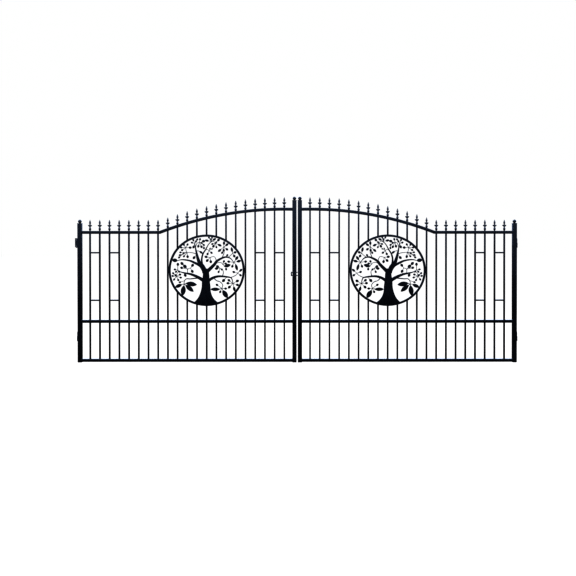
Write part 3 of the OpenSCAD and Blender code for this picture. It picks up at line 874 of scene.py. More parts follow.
@dataclass(frozen=True)
class LeafPlan:
    """Sizes of one leaf, in metres.

    Across is measured from the hinge stile's outer face, depth from the bars' middle and
    height from the stiles' feet.
    """

    width: float = 2.734
    stile: float = 0.050
    hinge_stile_top: float = 1.732
    meeting_stile_top: float = 2.019
    rail: float = 0.035
    bottom_rail: float = 0.006
    middle_rail: float = 0.494
    top_rail: float = 1.607
    arch_rise: float = 0.290
    arch_gap: float = 0.0145
    arch_sink: float = 0.008
    pickets: int = 21
    flat_pickets: int = 8
    inner_pickets: int = 4
    picket: float = 0.018
    end_gap: float = 0.093
    rung: float = 0.016
    rung_heights: tuple[float, float] = (0.775, 1.370)
    medallion_height: float = 0.893
    medallion_middle: float = 1.150
    rim_fit: float = 0.0001

    @property
    def inner_face(self) -> float:
        """The meeting stile's inner face."""
        return self.width - self.stile

    @property
    def pitch(self) -> float:
        """Distance from one picket to the next."""
        span = self.inner_face - self.stile - 2 * self.end_gap - self.picket
        return span / (self.pickets - 1)

    def picket_at(self, number: float) -> float:
        """Middle of a picket, counted from 1 at the hinge stile."""
        return self.stile + self.end_gap + self.picket / 2 + (number - 1) * self.pitch

    @property
    def rim_first(self) -> int:
        """The first picket that the medallion touches."""
        return self.flat_pickets + 1

    @property
    def rim_last(self) -> int:
        """The last picket that the medallion touches."""
        return self.pickets - self.inner_pickets

    @property
    def medallion_width(self) -> float:
        """Width of the medallion between the two pickets beside it."""
        span = (self.rim_last - self.rim_first) * self.pitch
        return span - self.picket - 2 * self.rim_fit

    @property
    def medallion_at(self) -> float:
        """Middle of the medallion, across."""
        return self.picket_at((self.rim_first + self.rim_last) / 2)

    @property
    def flat_middle(self) -> float:
        """Middle height of the top rail's flat stretch."""
        return self.top_rail + self.rail / 2

    @property
    def arch_start(self) -> float:
        """Where the arch starts, on the rail's middle line."""
        return self.picket_at(self.flat_pickets) + self.picket / 2 + self.arch_gap

    @property
    def crest(self) -> float:
        """Where the arch is highest."""
        return self.picket_at(self.pickets)

    @property
    def arch_radius(self) -> float:
        """Radius of the arch's middle line: (run^2 + rise^2) / (2 rise)."""
        run = self.crest - self.arch_start
        return (run**2 + self.arch_rise**2) / (2 * self.arch_rise)

    @property
    def kink(self) -> float:
        """Angle at which the arch leaves the flat stretch."""
        return math.asin((self.crest - self.arch_start) / self.arch_radius)

    def arch_height(self, across: Array | float, offset: float) -> Array:
        """Height of the arch, on a line offset from its middle line.

        A circle: the centre's height plus sqrt((R + offset)^2 - (across - crest)^2).

        Args:
            across: Place or places across the leaf.
            offset: Distance outwards from the rail's middle line.

        Returns:
            The height at each place.
        """
        centre = self.flat_middle + self.arch_rise - self.arch_radius
        reach = self.arch_radius + offset
        return centre + np.sqrt(reach**2 - (np.asarray(across) - self.crest) ** 2)

    def rim_height(self, across: Array, upper: bool) -> Array:
        """Height of the medallion's oval edge.

        The oval: the middle's height plus or minus half the height times
        sqrt(1 - share^2), with share the place across as a share of half the width.

        Args:
            across: Places across the leaf.
            upper: Whether to take the upper edge.

        Returns:
            The height at each place.
        """
        share = (across - self.medallion_at) / (self.medallion_width / 2)
        rise = self.medallion_height / 2 * np.sqrt(np.clip(1 - share**2, 0, 1))
        return self.medallion_middle + (rise if upper else -rise)


@dataclass(frozen=True)
class Finial:
    """A cast spear with two petals, a bulb and a foot, as millimetres over its seat.

    Attributes:
        outline: Radius and height of the turned body, foot to tip.
        petal_reach: Half width over the two petals.
        petal_depth: Half depth of a petal at its root.
    """

    outline: tuple[tuple[float, float], ...] = (
        (8.6, -16), (9.2, 2), (9.5, 8), (9.1, 11), (12.0, 15.6), (13.4, 24), (12.8, 32),
        (9.8, 39.5), (7.5, 44.4), (8.9, 46.2), (9.0, 48.4), (7.5, 50.2), (7.2, 56),
        (7.2, 66), (6.9, 76), (6.5, 80.6), (7.9, 82.2), (8.0, 84.2), (7.3, 86), (8.6, 90),
        (10.6, 95.6), (11.4, 101.5), (10.6, 109), (8.5, 117), (5.6, 126), (3.0, 133.6),
        (1.5, 138.4), (0.0, 141),
    )
    petal_reach: float = 25.0
    petal_depth: float = 6.0

    def body(self) -> Surface:
        """Turns the body.

        Over the neck its section is drawn to a flattened diamond, which gives the spear
        a ridge on each face.

        Returns:
            The closed body.
        """
        profile = smooth_line(self.outline, 3)
        spear = np.clip((profile[:, 1] - 86) / 10, 0, 1)
        spear = spear * spear * (3 - 2 * spear)
        return lathe(profile * MM, 28, 1 - 0.38 * spear, 1 + 0.38 * spear)

    def petals(self) -> Surface:
        """Both petals as one cupped casting, lofted from tip to tip.

        With t from -1 to 1 and u = |t|, a section is the ellipse round
        (reach t, 0, 62.5 + 10.5 u^1.1 - 3 u + 1.2 u^8), with half height
        16.5 - 10.5 u^1.1 - 3 u, swollen a little at the tips, and half depth
        depth (1 - 0.42 u). Both go to nothing over the last hair of the tips.

        Returns:
            The closed casting.
        """
        t = np.sin(np.linspace(-0.5 * np.pi, 0.5 * np.pi, 41))
        size = np.abs(t)
        middle = 62.5 + 10.5 * size**1.1 - 3 * size + 1.2 * size**8
        swell = 0.9 * np.exp(-(((size - 0.88) / 0.11) ** 2))
        taper = np.sqrt(np.clip((1.0005 - size) / 0.09, 0, 1))
        half_height = taper * (16.5 - 10.5 * size**1.1 - 3 * size + swell)
        half_depth = taper * self.petal_depth * (1 - 0.42 * size)
        angle = 2 * np.pi * np.arange(18) / 18
        rings = np.stack([
            np.broadcast_to(self.petal_reach * t[:, None], (len(t), len(angle))),
            half_depth[:, None] * np.cos(angle),
            middle[:, None] + half_height[:, None] * np.sin(angle)], -1)
        return loft(rings * MM)

    def at(self, across: float, seat: float) -> list[Surface]:
        """The finial's surfaces over a place on the rail.

        Args:
            across: Place across the leaf.
            seat: Height of the rail's top there.

        Returns:
            The body and the petals.
        """
        shift = np.array([across, 0.0, seat])
        return [s.moved(lambda p: p + shift) for s in (self.body(), self.petals())]


@dataclass(frozen=True)
class StileCap:
    """A flat plate with a ball on a flared collar.

    Attributes:
        plate: Side of the plate.
        plate_height: Thickness of the plate.
        ball: Radius of the ball.
        ball_lift: From the plate to the ball's lowest point.
    """

    plate: float = 0.054
    plate_height: float = 0.006
    ball: float = 0.0215
    ball_lift: float = 0.002

    def at(self, across: float, seat: float) -> list[Surface]:
        """The cap over a stile's middle, with a hair's seam round the ball's middle.

        Args:
            across: Place of the stile's middle.
            seat: Height of the stile's top.

        Returns:
            The plate, and the ball on its collar.
        """
        half = self.plate / 2
        plate = beam((across - half, -half, seat), (across + half, half,
                     seat + self.plate_height), Along.HEIGHT, 3 * MM, 1.6 * MM)
        foot = seat + self.plate_height
        middle = foot + self.ball_lift + self.ball
        low = math.radians(-62)
        turn = np.linspace(low, 0.5 * np.pi, 33)
        seam = 0.22 * MM * np.exp(-((turn / 0.035) ** 2))
        sphere = np.stack([(self.ball + seam) * np.cos(turn),
                           middle + self.ball * np.sin(turn)], -1)
        collar = smooth_line([
            (0.0, foot - 1 * MM), (17.5 * MM, foot - 1 * MM), (17.2 * MM, foot + 1.2 * MM),
            (14.8 * MM, foot + 2.2 * MM), (12.4 * MM, foot + 3.1 * MM)], 3)
        profile = np.concatenate([collar, sphere[sphere[:, 1] > foot + 3.6 * MM]])
        return [plate, lathe(profile, 48).moved(lambda p: p + [across, 0.0, 0.0])]


@dataclass
class Leaf:
    """One leaf of the gate.

    Attributes:
        side: Which leaf it is.
        plan: Its sizes.
        workshop: Makes its pieces.
        tube_corner: Corner radius of the stiles and rails.
        bar_corner: Corner radius of the pickets and rungs.
        tube_wall: Wall of the stiles.
        into: How far a picket runs into a rail.
        rail_bead: Radius, steps and ripples of the bead round a rail's end.
        mitre_bead: The same round the mitre between the top rail and the arch.
        picket_bead: The same round a picket's end.
        rung_bead: The same round a rung's end.
        tack_reach: Half length of an upright tack between the rim and a picket.
        tack_depth: From the leaf's middle to the tack's middle.
        tack: Radius of a tack.
    """

    side: Side
    plan: LeafPlan
    workshop: Workshop
    tube_corner: float = 0.0036
    bar_corner: float = 0.0013
    tube_wall: float = 0.003
    into: float = 2 * MM
    rail_bead: tuple[float, int, int] = (2.6 * MM, 56, 23)
    mitre_bead: tuple[float, int, int] = (1.0 * MM, 56, 23)
    picket_bead: tuple[float, int, int] = (1.7 * MM, 28, 9)
    rung_bead: tuple[float, int, int] = (1.5 * MM, 24, 8)
    tack_reach: float = 0.024
    tack_depth: float = 3.4 * MM
    tack: float = 1.6 * MM

    def place(self, points: Array) -> Array:
        """Puts leaf coordinates into the shared frame, mirrored on the right leaf.

        Args:
            points: Places across, in depth and in height.

        Returns:
            The same places in the frame.
        """
        low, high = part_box(f"{self.side.value}_hinge_stile")
        depth = 0.5 * (low.y + high.y)
        if self.side is Side.LEFT:
            return points + [low.x, depth, low.z]
        return points * [-1, 1, 1] + [high.x, depth, low.z]

    def add(
        self, name: str, surfaces: Sequence[Surface], slot: Slot, nodes: Sequence[str] = ()
    ) -> bpy.types.Object:
        """Makes a piece that rides on this leaf, with the side put before its names.

        Args:
            name: The piece's name without the side.
            surfaces: Its surfaces, in leaf coordinates.
            slot: The slot whose finish it takes.
            nodes: Names, without the side, of the nodes that it stands for.

        Returns:
            The piece.
        """
        word = self.side.value
        return self.workshop.piece(
            f"{word}_{name}", surfaces, slot, self.side.body,
            [f"{word}_{n}" for n in nodes], self.place)

    def build(self) -> None:
        """Builds every piece of the leaf."""
        self.build_stiles()
        self.build_rails()
        self.build_pickets()
        self.build_rungs()
        self.build_finials()
        self.build_caps()
        self.build_medallion()
        self.build_knuckles()
        self.build_welds()

    def build_stiles(self) -> None:
        """The two square tubes, each with a plug set into its open foot."""
        p = self.plan
        ease, plug = 0.8 * MM, 3 * MM
        for name, middle, top in (
            ("hinge_stile", p.stile / 2, p.hinge_stile_top),
            ("meeting_stile", p.width - p.stile / 2, p.meeting_stile_top),
        ):
            heights = np.array([plug, 0.3 * MM, 0.0, 0.0, 0.3 * ease, ease, top])
            insets = np.array([self.tube_wall, self.tube_wall, self.tube_wall - 0.3 * MM,
                               ease, 0.3 * ease, 0.0, 0.0])
            rings = stack(heights, insets, (p.stile, p.stile), self.tube_corner, 5)
            rings[..., 0] += middle
            self.add(f"{name}_tube", [loft(rings, corner_edge(5))], Slot.BARS, [name])

    def rail_ring(self, across: float, height: float, lean: float = 0.0) -> Array:
        """A rail's section at a place, in a plane that leans by an angle.

        The section's upward coordinate b goes to (-b tan(lean), b).

        Args:
            across: Place across the leaf.
            height: Height of the rail's middle line.
            lean: The plane's angle from upright.

        Returns:
            The ring's points.
        """
        p = self.plan
        flat = rounded_rings(*(np.array([v]) for v in (p.rail, p.rail, self.tube_corner)))[0]
        depth, up = flat[:, 0], flat[:, 1]
        return np.stack([across - up * math.tan(lean), depth, height + up], -1)

    def build_rails(self) -> None:
        """Bottom, middle and top rails, and the arch, mitred to the flat stretch."""
        p = self.plan
        for name, foot in (("bottom_rail", p.bottom_rail), ("middle_rail", p.middle_rail)):
            rings = np.stack([self.rail_ring(u, foot + p.rail / 2)
                              for u in np.linspace(p.stile, p.inner_face, 9)])
            self.add(f"{name}_tube", [loft(rings, corner_edge())], Slot.BARS, [name])
        mitre = self.rail_ring(p.arch_start, p.flat_middle, p.kink / 2)
        flat = np.stack([self.rail_ring(p.stile, p.flat_middle), mitre])
        self.add("top_rail_tube", [loft(flat, corner_edge())], Slot.BARS, ["top_rail"])
        self.add("arch_rail_tube", [loft(self.arch_rings(mitre), corner_edge())],
                 Slot.BARS, ["arch_rail"])

    def arch_rings(self, mitre: Array) -> Array:
        """The rail's section carried round the arch.

        At angle f before the crest, the section's upward coordinate b goes to
        (crest - (R + b) sin f, centre + (R + b) cos f).

        Args:
            mitre: The ring that the arch starts from.

        Returns:
            The rings by station, place on the ring and coordinate.
        """
        p = self.plan
        section = self.rail_ring(0.0, 0.0)
        end = math.asin((p.crest - p.inner_face) / p.arch_radius)
        angle = np.linspace(p.kink, end, 49)[1:, None]
        reach = p.arch_radius + section[None, :, 2]
        centre = p.flat_middle + p.arch_rise - p.arch_radius
        rings = np.stack([
            p.crest - reach * np.sin(angle),
            np.broadcast_to(section[None, :, 1], reach.shape) + 0 * angle,
            centre + reach * np.cos(angle)], -1)
        return np.concatenate([mitre[None], rings])

    def picket_ends(self, number: int, upper: bool | None) -> tuple[Callable, Callable]:
        """Height of a picket's foot and head as functions of the place across.

        Args:
            number: The picket's number.
            upper: For a picket that the medallion cuts, whether it is the upper part.

        Returns:
            The foot's function and the head's.
        """
        p, into = self.plan, self.into
        foot = lambda u: np.full_like(u, p.bottom_rail + p.rail - into)
        if number <= p.flat_pickets:
            head = lambda u: np.full_like(u, p.top_rail + into)
        else:
            head = lambda u: p.arch_height(u, into - p.rail / 2)
        if upper is None:
            return foot, head
        cut = lambda u: p.rim_height(u, bool(upper))
        return (cut, head) if upper else (foot, cut)

    def picket(self, number: int, upper: bool | None = None) -> tuple[Surface, list[Array]]:
        """A picket with its ends cut to what they meet.

        Args:
            number: The picket's number.
            upper: For a picket that the medallion cuts, whether it is the upper part.

        Returns:
            The picket, and the rings at its ends.
        """
        p = self.plan
        size = np.array([p.picket, p.picket])
        flat = rounded_rings(size, size, np.full(2, self.bar_corner), 3)
        flat[..., 0] += p.picket_at(number)
        foot, head = self.picket_ends(number, upper)
        heights = np.stack([foot(flat[0, :, 0]), head(flat[1, :, 0])])
        rings = np.concatenate([flat, heights[..., None]], -1)
        return loft(rings, corner_edge(3)), [rings[0], rings[1]]

    def build_pickets(self) -> None:
        """The square bars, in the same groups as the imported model."""
        p = self.plan
        cut = range(p.rim_first + 1, p.rim_last)
        for name, numbers, upper in (
            ("outer_pickets", range(1, p.rim_first + 1), None),
            ("inner_pickets", range(p.rim_last, p.pickets + 1), None),
            ("upper_medallion_pickets", cut, True),
            ("lower_medallion_pickets", cut, False),
        ):
            bars = [self.picket(n, upper)[0] for n in numbers]
            self.add(f"{name}_bars", bars, Slot.BARS, [name])

    def rung_numbers(self) -> dict[str, tuple[int, int]]:
        """The pickets to the outer side of each rung, by the rungs' place."""
        last = self.plan.pickets
        return {"outer_rungs": (1, 3), "inner_rungs": (last - 3, last - 1)}

    def build_rungs(self) -> None:
        """Short bars between pairs of pickets at two heights."""
        p, half = self.plan, self.plan.rung / 2
        for name, numbers in self.rung_numbers().items():
            bars = [
                beam((p.picket_at(n) + p.picket / 2 - 1 * MM, -half, z - half),
                     (p.picket_at(n + 1) - p.picket / 2 + 1 * MM, half, z + half),
                     Along.WIDTH, self.bar_corner, 0.4 * MM)
                for n in numbers for z in p.rung_heights]
            self.add(f"{name}_bars", bars, Slot.BARS, [name])

    def build_finials(self) -> None:
        """A finial over every picket, let down a little where it stands on the arch."""
        p, finial = self.plan, Finial()
        flat = [s for n in range(1, p.flat_pickets + 1)
                for s in finial.at(p.picket_at(n), p.top_rail + p.rail)]
        arch = [s for n in range(p.flat_pickets + 1, p.pickets + 1)
                for s in finial.at(p.picket_at(n), float(
                    p.arch_height(p.picket_at(n), p.rail / 2)) - p.arch_sink)]
        self.add("flat_finial_castings", flat, Slot.CASTINGS, ["flat_finials"])
        self.add("arch_finial_castings", arch, Slot.CASTINGS, ["arch_finials"])

    def build_caps(self) -> None:
        """The plate-and-ball cap of each stile."""
        p, cap = self.plan, StileCap()
        for name, middle, top in (
            ("hinge_stile_cap", p.stile / 2, p.hinge_stile_top),
            ("meeting_stile_cap", p.width - p.stile / 2, p.meeting_stile_top),
        ):
            self.add(f"{name}_casting", cap.at(middle, top), Slot.CASTINGS, [name])

    def build_medallion(self) -> None:
        """The cut plate, with its edges eased."""
        node = f"{self.side.value}_medallion"
        self.workshop.piece(
            f"{node}_plate", [eased_plate(node, 0.5 * MM)], Slot.PLATE, self.side.body,
            [node])

    def build_knuckles(self) -> None:
        """The leaf's halves of its two hinges."""
        for level in ("lower", "upper"):
            node = f"{self.side.value}_{level}_hinge_knuckle"
            self.workshop.softened(
                f"{node}_barrel", node, Slot.HINGE, self.side.body, 0.6 * MM)

    def build_welds(self) -> None:
        """Beads at the rails' ends, the pickets' ends, the rungs and the rim."""
        for name, beads, slot in (
            ("rail_welds", self.rail_beads(), Slot.BARS),
            ("picket_welds", self.picket_beads(), Slot.BARS),
            ("rung_welds", self.rung_beads(), Slot.BARS),
            ("rim_welds", self.rim_tacks(), Slot.PLATE),
        ):
            self.add(name, beads, slot)

    def rail_beads(self) -> list[Surface]:
        """Beads round the ends of the rails and round the arch's mitre.

        Returns:
            The beads.
        """
        p = self.plan
        arch_end = float(p.arch_height(p.inner_face, 0.0))
        ends = [(p.stile, height + p.rail / 2)
                for height in (p.bottom_rail, p.middle_rail, p.top_rail)]
        ends += [(p.inner_face, height + p.rail / 2)
                 for height in (p.bottom_rail, p.middle_rail)]
        ends += [(p.inner_face, arch_end)]
        beads = [bead(self.rail_ring(*end), *self.rail_bead) for end in ends]
        mitre = self.rail_ring(p.arch_start, p.flat_middle, p.kink / 2)
        return [*beads, bead(mitre, *self.mitre_bead)]

    def picket_beads(self) -> list[Surface]:
        """Beads where the pickets meet the rails and the medallion's rim.

        Returns:
            The beads.
        """
        p, into = self.plan, self.into
        cut = range(p.rim_first + 1, p.rim_last)
        whole = [n for n in range(1, p.pickets + 1) if n not in cut]
        return [
            bead(ring + [0.0, 0.0, shift], *self.picket_bead)
            for numbers, upper, shifts in (
                (whole, None, (into, -into)), (cut, True, (0.0, -into)),
                (cut, False, (into, 0.0)))
            for n in numbers for ring, shift in zip(self.picket(n, upper)[1], shifts)]

    def rung_beads(self) -> list[Surface]:
        """Beads at both ends of every rung.

        Returns:
            The beads.
        """
        p = self.plan
        square = rounded_rings(np.array([p.rung]), np.array([p.rung]),
                               np.array([self.bar_corner]), 3)[0]
        return [
            bead(np.stack([np.full(len(square), u), square[:, 0], z + square[:, 1]], -1),
                 *self.rung_bead)
            for numbers in self.rung_numbers().values() for n in numbers
            for u in (p.picket_at(n) + p.picket / 2, p.picket_at(n + 1) - p.picket / 2)
            for z in p.rung_heights]

    def rim_tacks(self) -> list[Surface]:
        """Upright tacks, front and back, where the rim's sides touch the pickets.

        Returns:
            The tacks.
        """
        p, reach = self.plan, self.tack_reach
        sides = [p.picket_at(p.rim_first) + p.picket / 2,
                 p.picket_at(p.rim_last) - p.picket / 2]
        return [
            fillet_bead((face, depth, p.medallion_middle - reach),
                        (face, depth, p.medallion_middle + reach), self.tack)
            for face in sides for depth in (-self.tack_depth, self.tack_depth)]


def eased_plate(node: str, ease: float) -> Surface:
    """Rebuilds a flat cut plate with its sharp edges rounded.

    The front face's outline is kept. Round each face the outline is drawn in along the
    mean of its two sides' inward normals, divided by the cosine of half their angle, and
    the steps between go by quarter circles: in by ease (1 - sin t), down by ease
    (1 - cos t).

    Args:
        node: The plate's node, flat in depth.
        ease: Radius of the rounding.

    Returns:
        The closed plate.
    """
    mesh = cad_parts[node].data
    mesh.calc_loop_triangles()
    raw = np.empty(len(mesh.vertices) * 3)
    mesh.vertices.foreach_get("co", raw)
    tris = np.empty(len(mesh.loop_triangles) * 3, np.int32)
    mesh.loop_triangles.foreach_get("vertices", tris)
    raw, tris = raw.reshape(-1, 3), tris.reshape(-1, 3)
    front_y, back_y = raw[:, 1].min(), raw[:, 1].max()
    front = tris[(raw[tris][:, :, 1] < front_y + 0.1 * MM).all(1)]
    key = np.round(raw[:, [0, 2]] / (0.001 * MM)).astype(np.int64)
    used, number = np.unique(front.ravel(), return_inverse=True)
    same, first, merged = np.unique(key[used], axis=0, return_index=True, return_inverse=True)
    plane = raw[used[first]][:, [0, 2]]
    faces = merged.reshape(-1)[number].reshape(-1, 3)
    faces = faces[(faces[:, 0] != faces[:, 1]) & (faces[:, 1] != faces[:, 2])
                  & (faces[:, 2] != faces[:, 0])]
    a, b, c = (plane[faces[:, k]] for k in range(3))
    turn = (b - a)[:, 0] * (c - a)[:, 1] - (b - a)[:, 1] * (c - a)[:, 0]
    faces = np.where((turn < 0)[:, None], faces[:, ::-1], faces)
    sides = np.concatenate([faces[:, [0, 1]], faces[:, [1, 2]], faces[:, [2, 0]]])
    count = len(same)
    codes, back_codes = sides @ [count, 1], sides @ [1, count]
    rim = sides[~np.isin(codes, back_codes)]
    way = plane[rim[:, 1]] - plane[rim[:, 0]]
    way /= np.linalg.norm(way, axis=1, keepdims=True)
    inward = np.stack([-way[:, 1], way[:, 0]], -1)
    total = np.zeros_like(plane)
    np.add.at(total, rim[:, 0], inward)
    np.add.at(total, rim[:, 1], inward)
    length = np.linalg.norm(total, axis=1, keepdims=True)
    draw = total / np.maximum(length, 1e-9) / np.clip(length / 2, 0.6, 1)
    t = np.linspace(0, 0.5 * np.pi, 3)
    insets = np.append(ease * (1 - np.sin(t)), ease * (1 - np.sin(t[::-1])))
    depths = np.append(front_y + ease * (1 - np.cos(t)),
                       back_y - ease * (1 - np.cos(t[::-1])))
    flat = plane[None] + insets[:, None, None] * draw[None]
    points = np.stack([flat[..., 0], np.broadcast_to(depths[:, None], flat.shape[:2]),
                       flat[..., 1]], -1).reshape(-1, 3)
    level = count * np.arange(len(insets) - 1)[:, None]
    quads = np.stack([rim[None, :, 1] + level, rim[None, :, 0] + level,
                      rim[None, :, 0] + level + count, rim[None, :, 1] + level + count], -1)
    caps = np.concatenate([faces, faces[:, ::-1] + count * (len(insets) - 1)])
    edge = np.repeat(np.array([0, 1, 0, 0, 1, 0], float), count)
    return Surface(points, quads.reshape(-1, 4), caps, edge)


# ---- hinges and latch ----


@dataclass
class Hinges:
    """The pillars' halves of the four hinges.

    Attributes:
        workshop: Makes the pieces.
        body: The body that carries them.
    """

    workshop: Workshop
    body: str = "brackets"

    def build(self) -> None:
        """Softens each bracket, with the strapped one among them."""
        for side in Side:
            for level in ("lower", "upper"):
                node = f"{side.value}_{level}_hinge_bracket"
                self.workshop.softened(f"{node}_steel", node, Slot.HINGE, self.body, 0.6 * MM)


@dataclass
class Latch:
    """The slide bolt, its guide and its keeper.

    Attributes:
        workshop: Makes the pieces.
        rod: Radius of a rod.
        rod_back: From a rod to the back of the grip.
        dome: Depth of a rod's domed tip as a share of its radius.
        grip: Width and depth of the grip.
        grip_edge: How far the grip runs past a rod.
        knob: Radius and reach of the knob's outline, in millimetres.
        plate: Thickness of the guide's and the keeper's plate.
        screw_inset: From the end and from the side of a plate to a screw's middle.
        screw: Radius and reach of a screw head's outline, in millimetres.
    """

    workshop: Workshop
    rod: float = 0.005
    rod_back: float = 0.001
    dome: float = 0.6
    grip: tuple[float, float] = (0.011, 0.012)
    grip_edge: float = 0.002
    knob: tuple[tuple[float, float], ...] = (
        (0.0, -4.0), (5.6, -4.0), (5.4, -1.0), (4.1, 1.2), (4.0, 4.0), (4.3, 6.0),
        (6.6, 7.6), (8.6, 11.0), (9.0, 14.6), (8.2, 19.0), (5.4, 22.2), (2.4, 23.5),
        (0.0, 23.8),
    )
    plate: float = 0.004
    screw_inset: tuple[float, float] = (0.012, 0.010)
    screw: tuple[tuple[float, float], ...] = (
        (0.0, -1.0), (4.2, -1.0), (4.2, 0.4), (3.7, 1.5), (2.6, 2.2), (1.6, 2.4),
        (1.4, 2.3), (1.2, 1.4), (0.0, 1.3),
    )

    def build(self) -> None:
        """Builds the latch."""
        self.workshop.softened(
            "latch_guide_block", "latch_guide", Slot.LATCH, Side.LEFT.body, 0.5 * MM)
        self.workshop.softened(
            "latch_keeper_staple", "latch_keeper", Slot.LATCH, Side.RIGHT.body, 0.5 * MM)
        self.build_bolt()
        self.build_screws()

    def build_bolt(self) -> None:
        """Two rods with domed tips, a grip that joins them and a knob on a neck.

        The rods run along the bolt's box. At a tip the radius is rod * cos(t), and the
        place is the end less dome * rod * (1 - sin t), with t over a quarter turn.
        """
        low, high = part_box("latch_bolt")
        width, depth = self.grip
        middle_y, middle_z = high.y - self.rod - self.rod_back, 0.5 * (low.z + high.z)
        rod_gap = (high.z - low.z) - 2 * (self.rod + self.grip_edge)
        turn = np.linspace(0, 0.5 * np.pi, 7)
        radius = np.concatenate([[0.98 * self.rod], [self.rod], self.rod * np.cos(turn)])
        travel = np.concatenate([
            [low.x + 1 * MM], [low.x + 2 * MM],
            high.x - self.dome * self.rod * (1 - np.sin(turn))])
        rod = lathe(np.stack([radius, travel], -1), 28)
        rods = [
            rod.moved(lambda p, z=z: turned_to(p, Along.WIDTH) + [0.0, middle_y, z])
            for z in (middle_z - rod_gap / 2, middle_z + rod_gap / 2)]
        face = middle_y - depth / 2
        grip = beam((low.x, face, low.z), (low.x + width, middle_y + depth / 2, high.z),
                    Along.HEIGHT, 2.2 * MM, 1.8 * MM)
        outline = smooth_line(self.knob, 3) * MM
        outline[:, 1] *= (face - low.y) / outline[-1, 1]
        at = np.array([low.x + width / 2, face, middle_z])
        knob = lathe(outline, 36).moved(lambda p: p[:, [0, 2, 1]] * [1, -1, 1] + at)
        self.workshop.piece(
            "latch_bolt_rods", [*rods, grip, knob], Slot.LATCH, "slide_bolt", ["latch_bolt"])

    def build_screws(self) -> None:
        """Two domed screws through each of the latch's plates."""
        head = lathe(smooth_line(self.screw, 2) * MM, 20)
        end, side_inset = self.screw_inset
        for node, side, from_left in (
            ("latch_guide", Side.LEFT, True), ("latch_keeper", Side.RIGHT, False),
        ):
            low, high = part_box(node)
            stile_low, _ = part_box(f"{side.value}_meeting_stile")
            across = low.x + side_inset if from_left else high.x - side_inset
            heads = [
                head.moved(lambda p, z=z: p[:, [0, 2, 1]] * [1, -1, 1]
                           + [across, stile_low.y - self.plate, z])
                for z in (low.z + end, high.z - end)]
            self.workshop.piece(f"{node}_screws", heads, Slot.LATCH, side.body)


# ---- studio ----


@dataclass(frozen=True)
class Lamp:
    """A square area light that faces the gate's middle.

    Attributes:
        name: The light's name.
        offset: From the gate's middle to the light.
        size: Side of the square.
        power: Watts.
    """

    name: str
    offset: tuple[float, float, float]
    size: float
    power: float


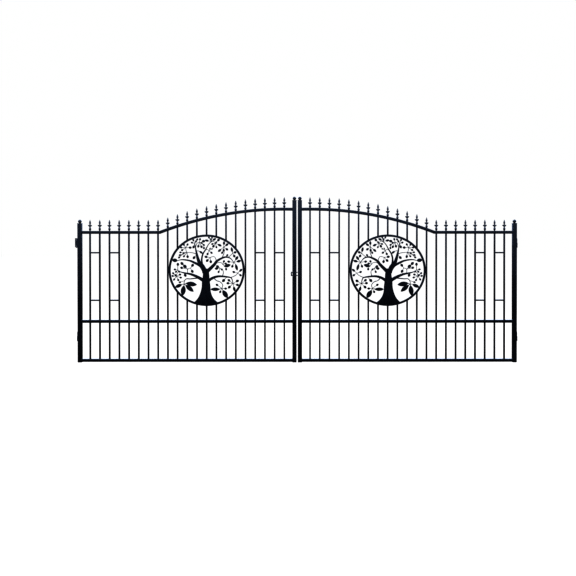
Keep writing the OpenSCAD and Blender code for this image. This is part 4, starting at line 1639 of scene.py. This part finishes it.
@dataclass
class Studio:
    """Floor, light and camera.

    Attributes:
        floor_drop: From the stiles' feet down to the floor.
        floor_reach: Half the floor's side.
        floor_matte: Colour of the floor where light bounces off it.
        floor_mirrored: Colour of the floor in reflections, darker, as a driveway is.
        floor_seen: Colour and glow of the floor before the camera, an even white.
        sky_edge: Upward parts of a direction between which the sky brightens.
        sky_low: Colour of the sky under that edge, in reflections.
        sky_high: Colour of the sky over it, in reflections.
        surround: Brightness of the light from all round.
        lamps: The lights.
        camera_distance: From the leaves' front to the camera.
        camera_height: Over the stiles' feet.
        focal: The lens, on a 36 mm film.
        shift: The film's shift, as shares of its width.
        tilt_down: Degrees that the camera looks down by.
        roll: Degrees that it is rolled by.
        contrast: Gamma of the picture, below 1 for deeper tones.
    """

    floor_drop: float = 0.060
    floor_reach: float = 60.0
    floor_matte: tuple[float, float, float] = (0.86, 0.86, 0.86)
    floor_mirrored: tuple[float, float, float] = (0.02, 0.022, 0.026)
    floor_seen: tuple[float, float] = (0.21, 0.76)
    sky_edge: tuple[float, float] = (-0.01, 0.09)
    sky_low: tuple[float, float, float] = (0.004, 0.009, 0.03)
    sky_high: tuple[float, float, float] = (2.0, 2.65, 3.9)
    surround: float = 1.25
    lamps: tuple[Lamp, ...] = (
        Lamp("key", (-4.5, -6.5, 5.5), 5.0, 520.0),
        Lamp("fill", (5.5, -6.0, 3.5), 4.0, 130.0),
        Lamp("back", (1.5, 6.5, 5.0), 5.0, 260.0),
    )
    camera_distance: float = 9.364
    camera_height: float = 1.53
    focal: float = 46.9
    shift: tuple[float, float] = (-0.0159, -0.0740)
    tilt_down: float = 0.42
    roll: float = 0.02
    contrast: float = 0.56

    def build(self) -> None:
        """Builds the studio."""
        self.build_world()
        self.build_floor()
        self.build_lights()
        self.build_camera()

    def build_world(self) -> None:
        """White behind the gate, and a soft sky for it to reflect, brighter above."""
        world = bpy.data.worlds.new("studio")
        bpy.context.scene.world = world
        world.use_nodes = True
        world.node_tree.nodes.clear()
        w = Wiring(world.node_tree)
        path = w.add("ShaderNodeLightPath").outputs
        way = w.add("ShaderNodeTexCoord").outputs["Generated"]
        up = w.add("ShaderNodeSeparateXYZ", {0: way}).outputs[2]
        sky = w.blend(w.ramp(up, *self.sky_edge), self.sky_low, self.sky_high)
        glossy = w.blend(path["Is Glossy Ray"], (self.surround,) * 3, sky)
        seen = w.blend(path["Is Camera Ray"], glossy, (1.0, 1.0, 1.0))
        shader = w.add("ShaderNodeBackground", {"Color": seen, "Strength": 1.0})
        w.add("ShaderNodeOutputWorld", {"Surface": shader.outputs[0]})

    def build_floor(self) -> None:
        """A pale floor, one square under the gate."""
        low, high = CAD_BOX
        level = low.z - self.floor_drop
        middle = 0.5 * (low + high)
        corners = np.array([[-1, -1], [1, -1], [1, 1], [-1, 1]]) * self.floor_reach
        points = np.column_stack([corners + [middle.x, middle.y], np.full(4, level)])
        mesh = bpy.data.meshes.new("floor")
        mesh.from_pydata(points, [], [[0, 1, 2, 3]])
        floor = bpy.data.objects.new("floor", mesh)
        bpy.context.scene.collection.objects.link(floor)
        mesh.materials.append(self.floor_material())
        log.info("floor at %.3f m", level)

    def floor_material(self) -> bpy.types.Material:
        """The floor's finish: matte, with a glow before the camera that keeps it white.

        Returns:
            The material.
        """
        made = bpy.data.materials.new("pale_floor")
        made.use_nodes = True
        made.node_tree.nodes.clear()
        w = Wiring(made.node_tree)
        shade, glow = self.floor_seen
        path = w.add("ShaderNodeLightPath").outputs
        bounced = w.blend(path["Is Glossy Ray"], self.floor_matte, self.floor_mirrored)
        colour = w.blend(path["Is Camera Ray"], bounced, (shade,) * 3)
        matte = w.add("ShaderNodeBsdfDiffuse", {"Color": colour})
        strength = w.math("MULTIPLY", path["Is Camera Ray"], glow)
        white = w.add("ShaderNodeEmission", {"Strength": strength})
        both = w.add("ShaderNodeAddShader", {0: matte.outputs[0], 1: white.outputs[0]})
        w.add("ShaderNodeOutputMaterial", {"Surface": both.outputs[0]})
        return made

    def build_lights(self) -> None:
        """A large soft key from the upper left, a weaker fill and a light behind."""
        low, high = CAD_BOX
        middle = 0.5 * (low + high)
        for lamp in self.lamps:
            light = bpy.data.lights.new(lamp.name, "AREA")
            light.shape, light.size, light.energy = "SQUARE", lamp.size, lamp.power
            stand = bpy.data.objects.new(lamp.name, light)
            bpy.context.scene.collection.objects.link(stand)
            offset = Vector(lamp.offset)
            stand.location = middle + offset
            stand.rotation_euler = (-offset).to_track_quat("-Z", "Y").to_euler()
            stand.visible_camera = False
            log.info("light %s", lamp.name)

    def build_camera(self) -> None:
        """A camera before the gate's middle at standing eye height, almost level."""
        low, _ = CAD_BOX
        left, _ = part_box("left_hinge_stile")
        _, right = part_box("right_hinge_stile")
        data = bpy.data.cameras.new("camera")
        data.lens, data.sensor_width = self.focal, 36.0
        data.shift_x, data.shift_y = self.shift
        data.clip_end = 200.0
        camera = bpy.data.objects.new("camera", data)
        bpy.context.scene.collection.objects.link(camera)
        camera.location = (
            0.5 * (left.x + right.x), left.y - self.camera_distance,
            low.z + self.camera_height)
        camera.rotation_euler = (
            math.radians(90 - self.tilt_down), math.radians(self.roll), 0.0)
        bpy.context.scene.camera = camera
        settings = bpy.context.scene.view_settings
        settings.view_transform, settings.gamma = "Standard", self.contrast


def main() -> None:
    """Builds the gate piece by piece, then the studio round it."""
    logging.basicConfig(level=logging.INFO, format="%(message)s")
    effects = Effects()
    workshop = Workshop({slot: f.material(effects) for slot, f in FINISHES.items()})
    plan = LeafPlan()
    for side in Side:
        Leaf(side, plan, workshop).build()
    Hinges(workshop).build()
    Latch(workshop).build()
    Studio().build()
    log.info("%d pieces", len(workshop.made))


if __name__ == "__main__":
    main()
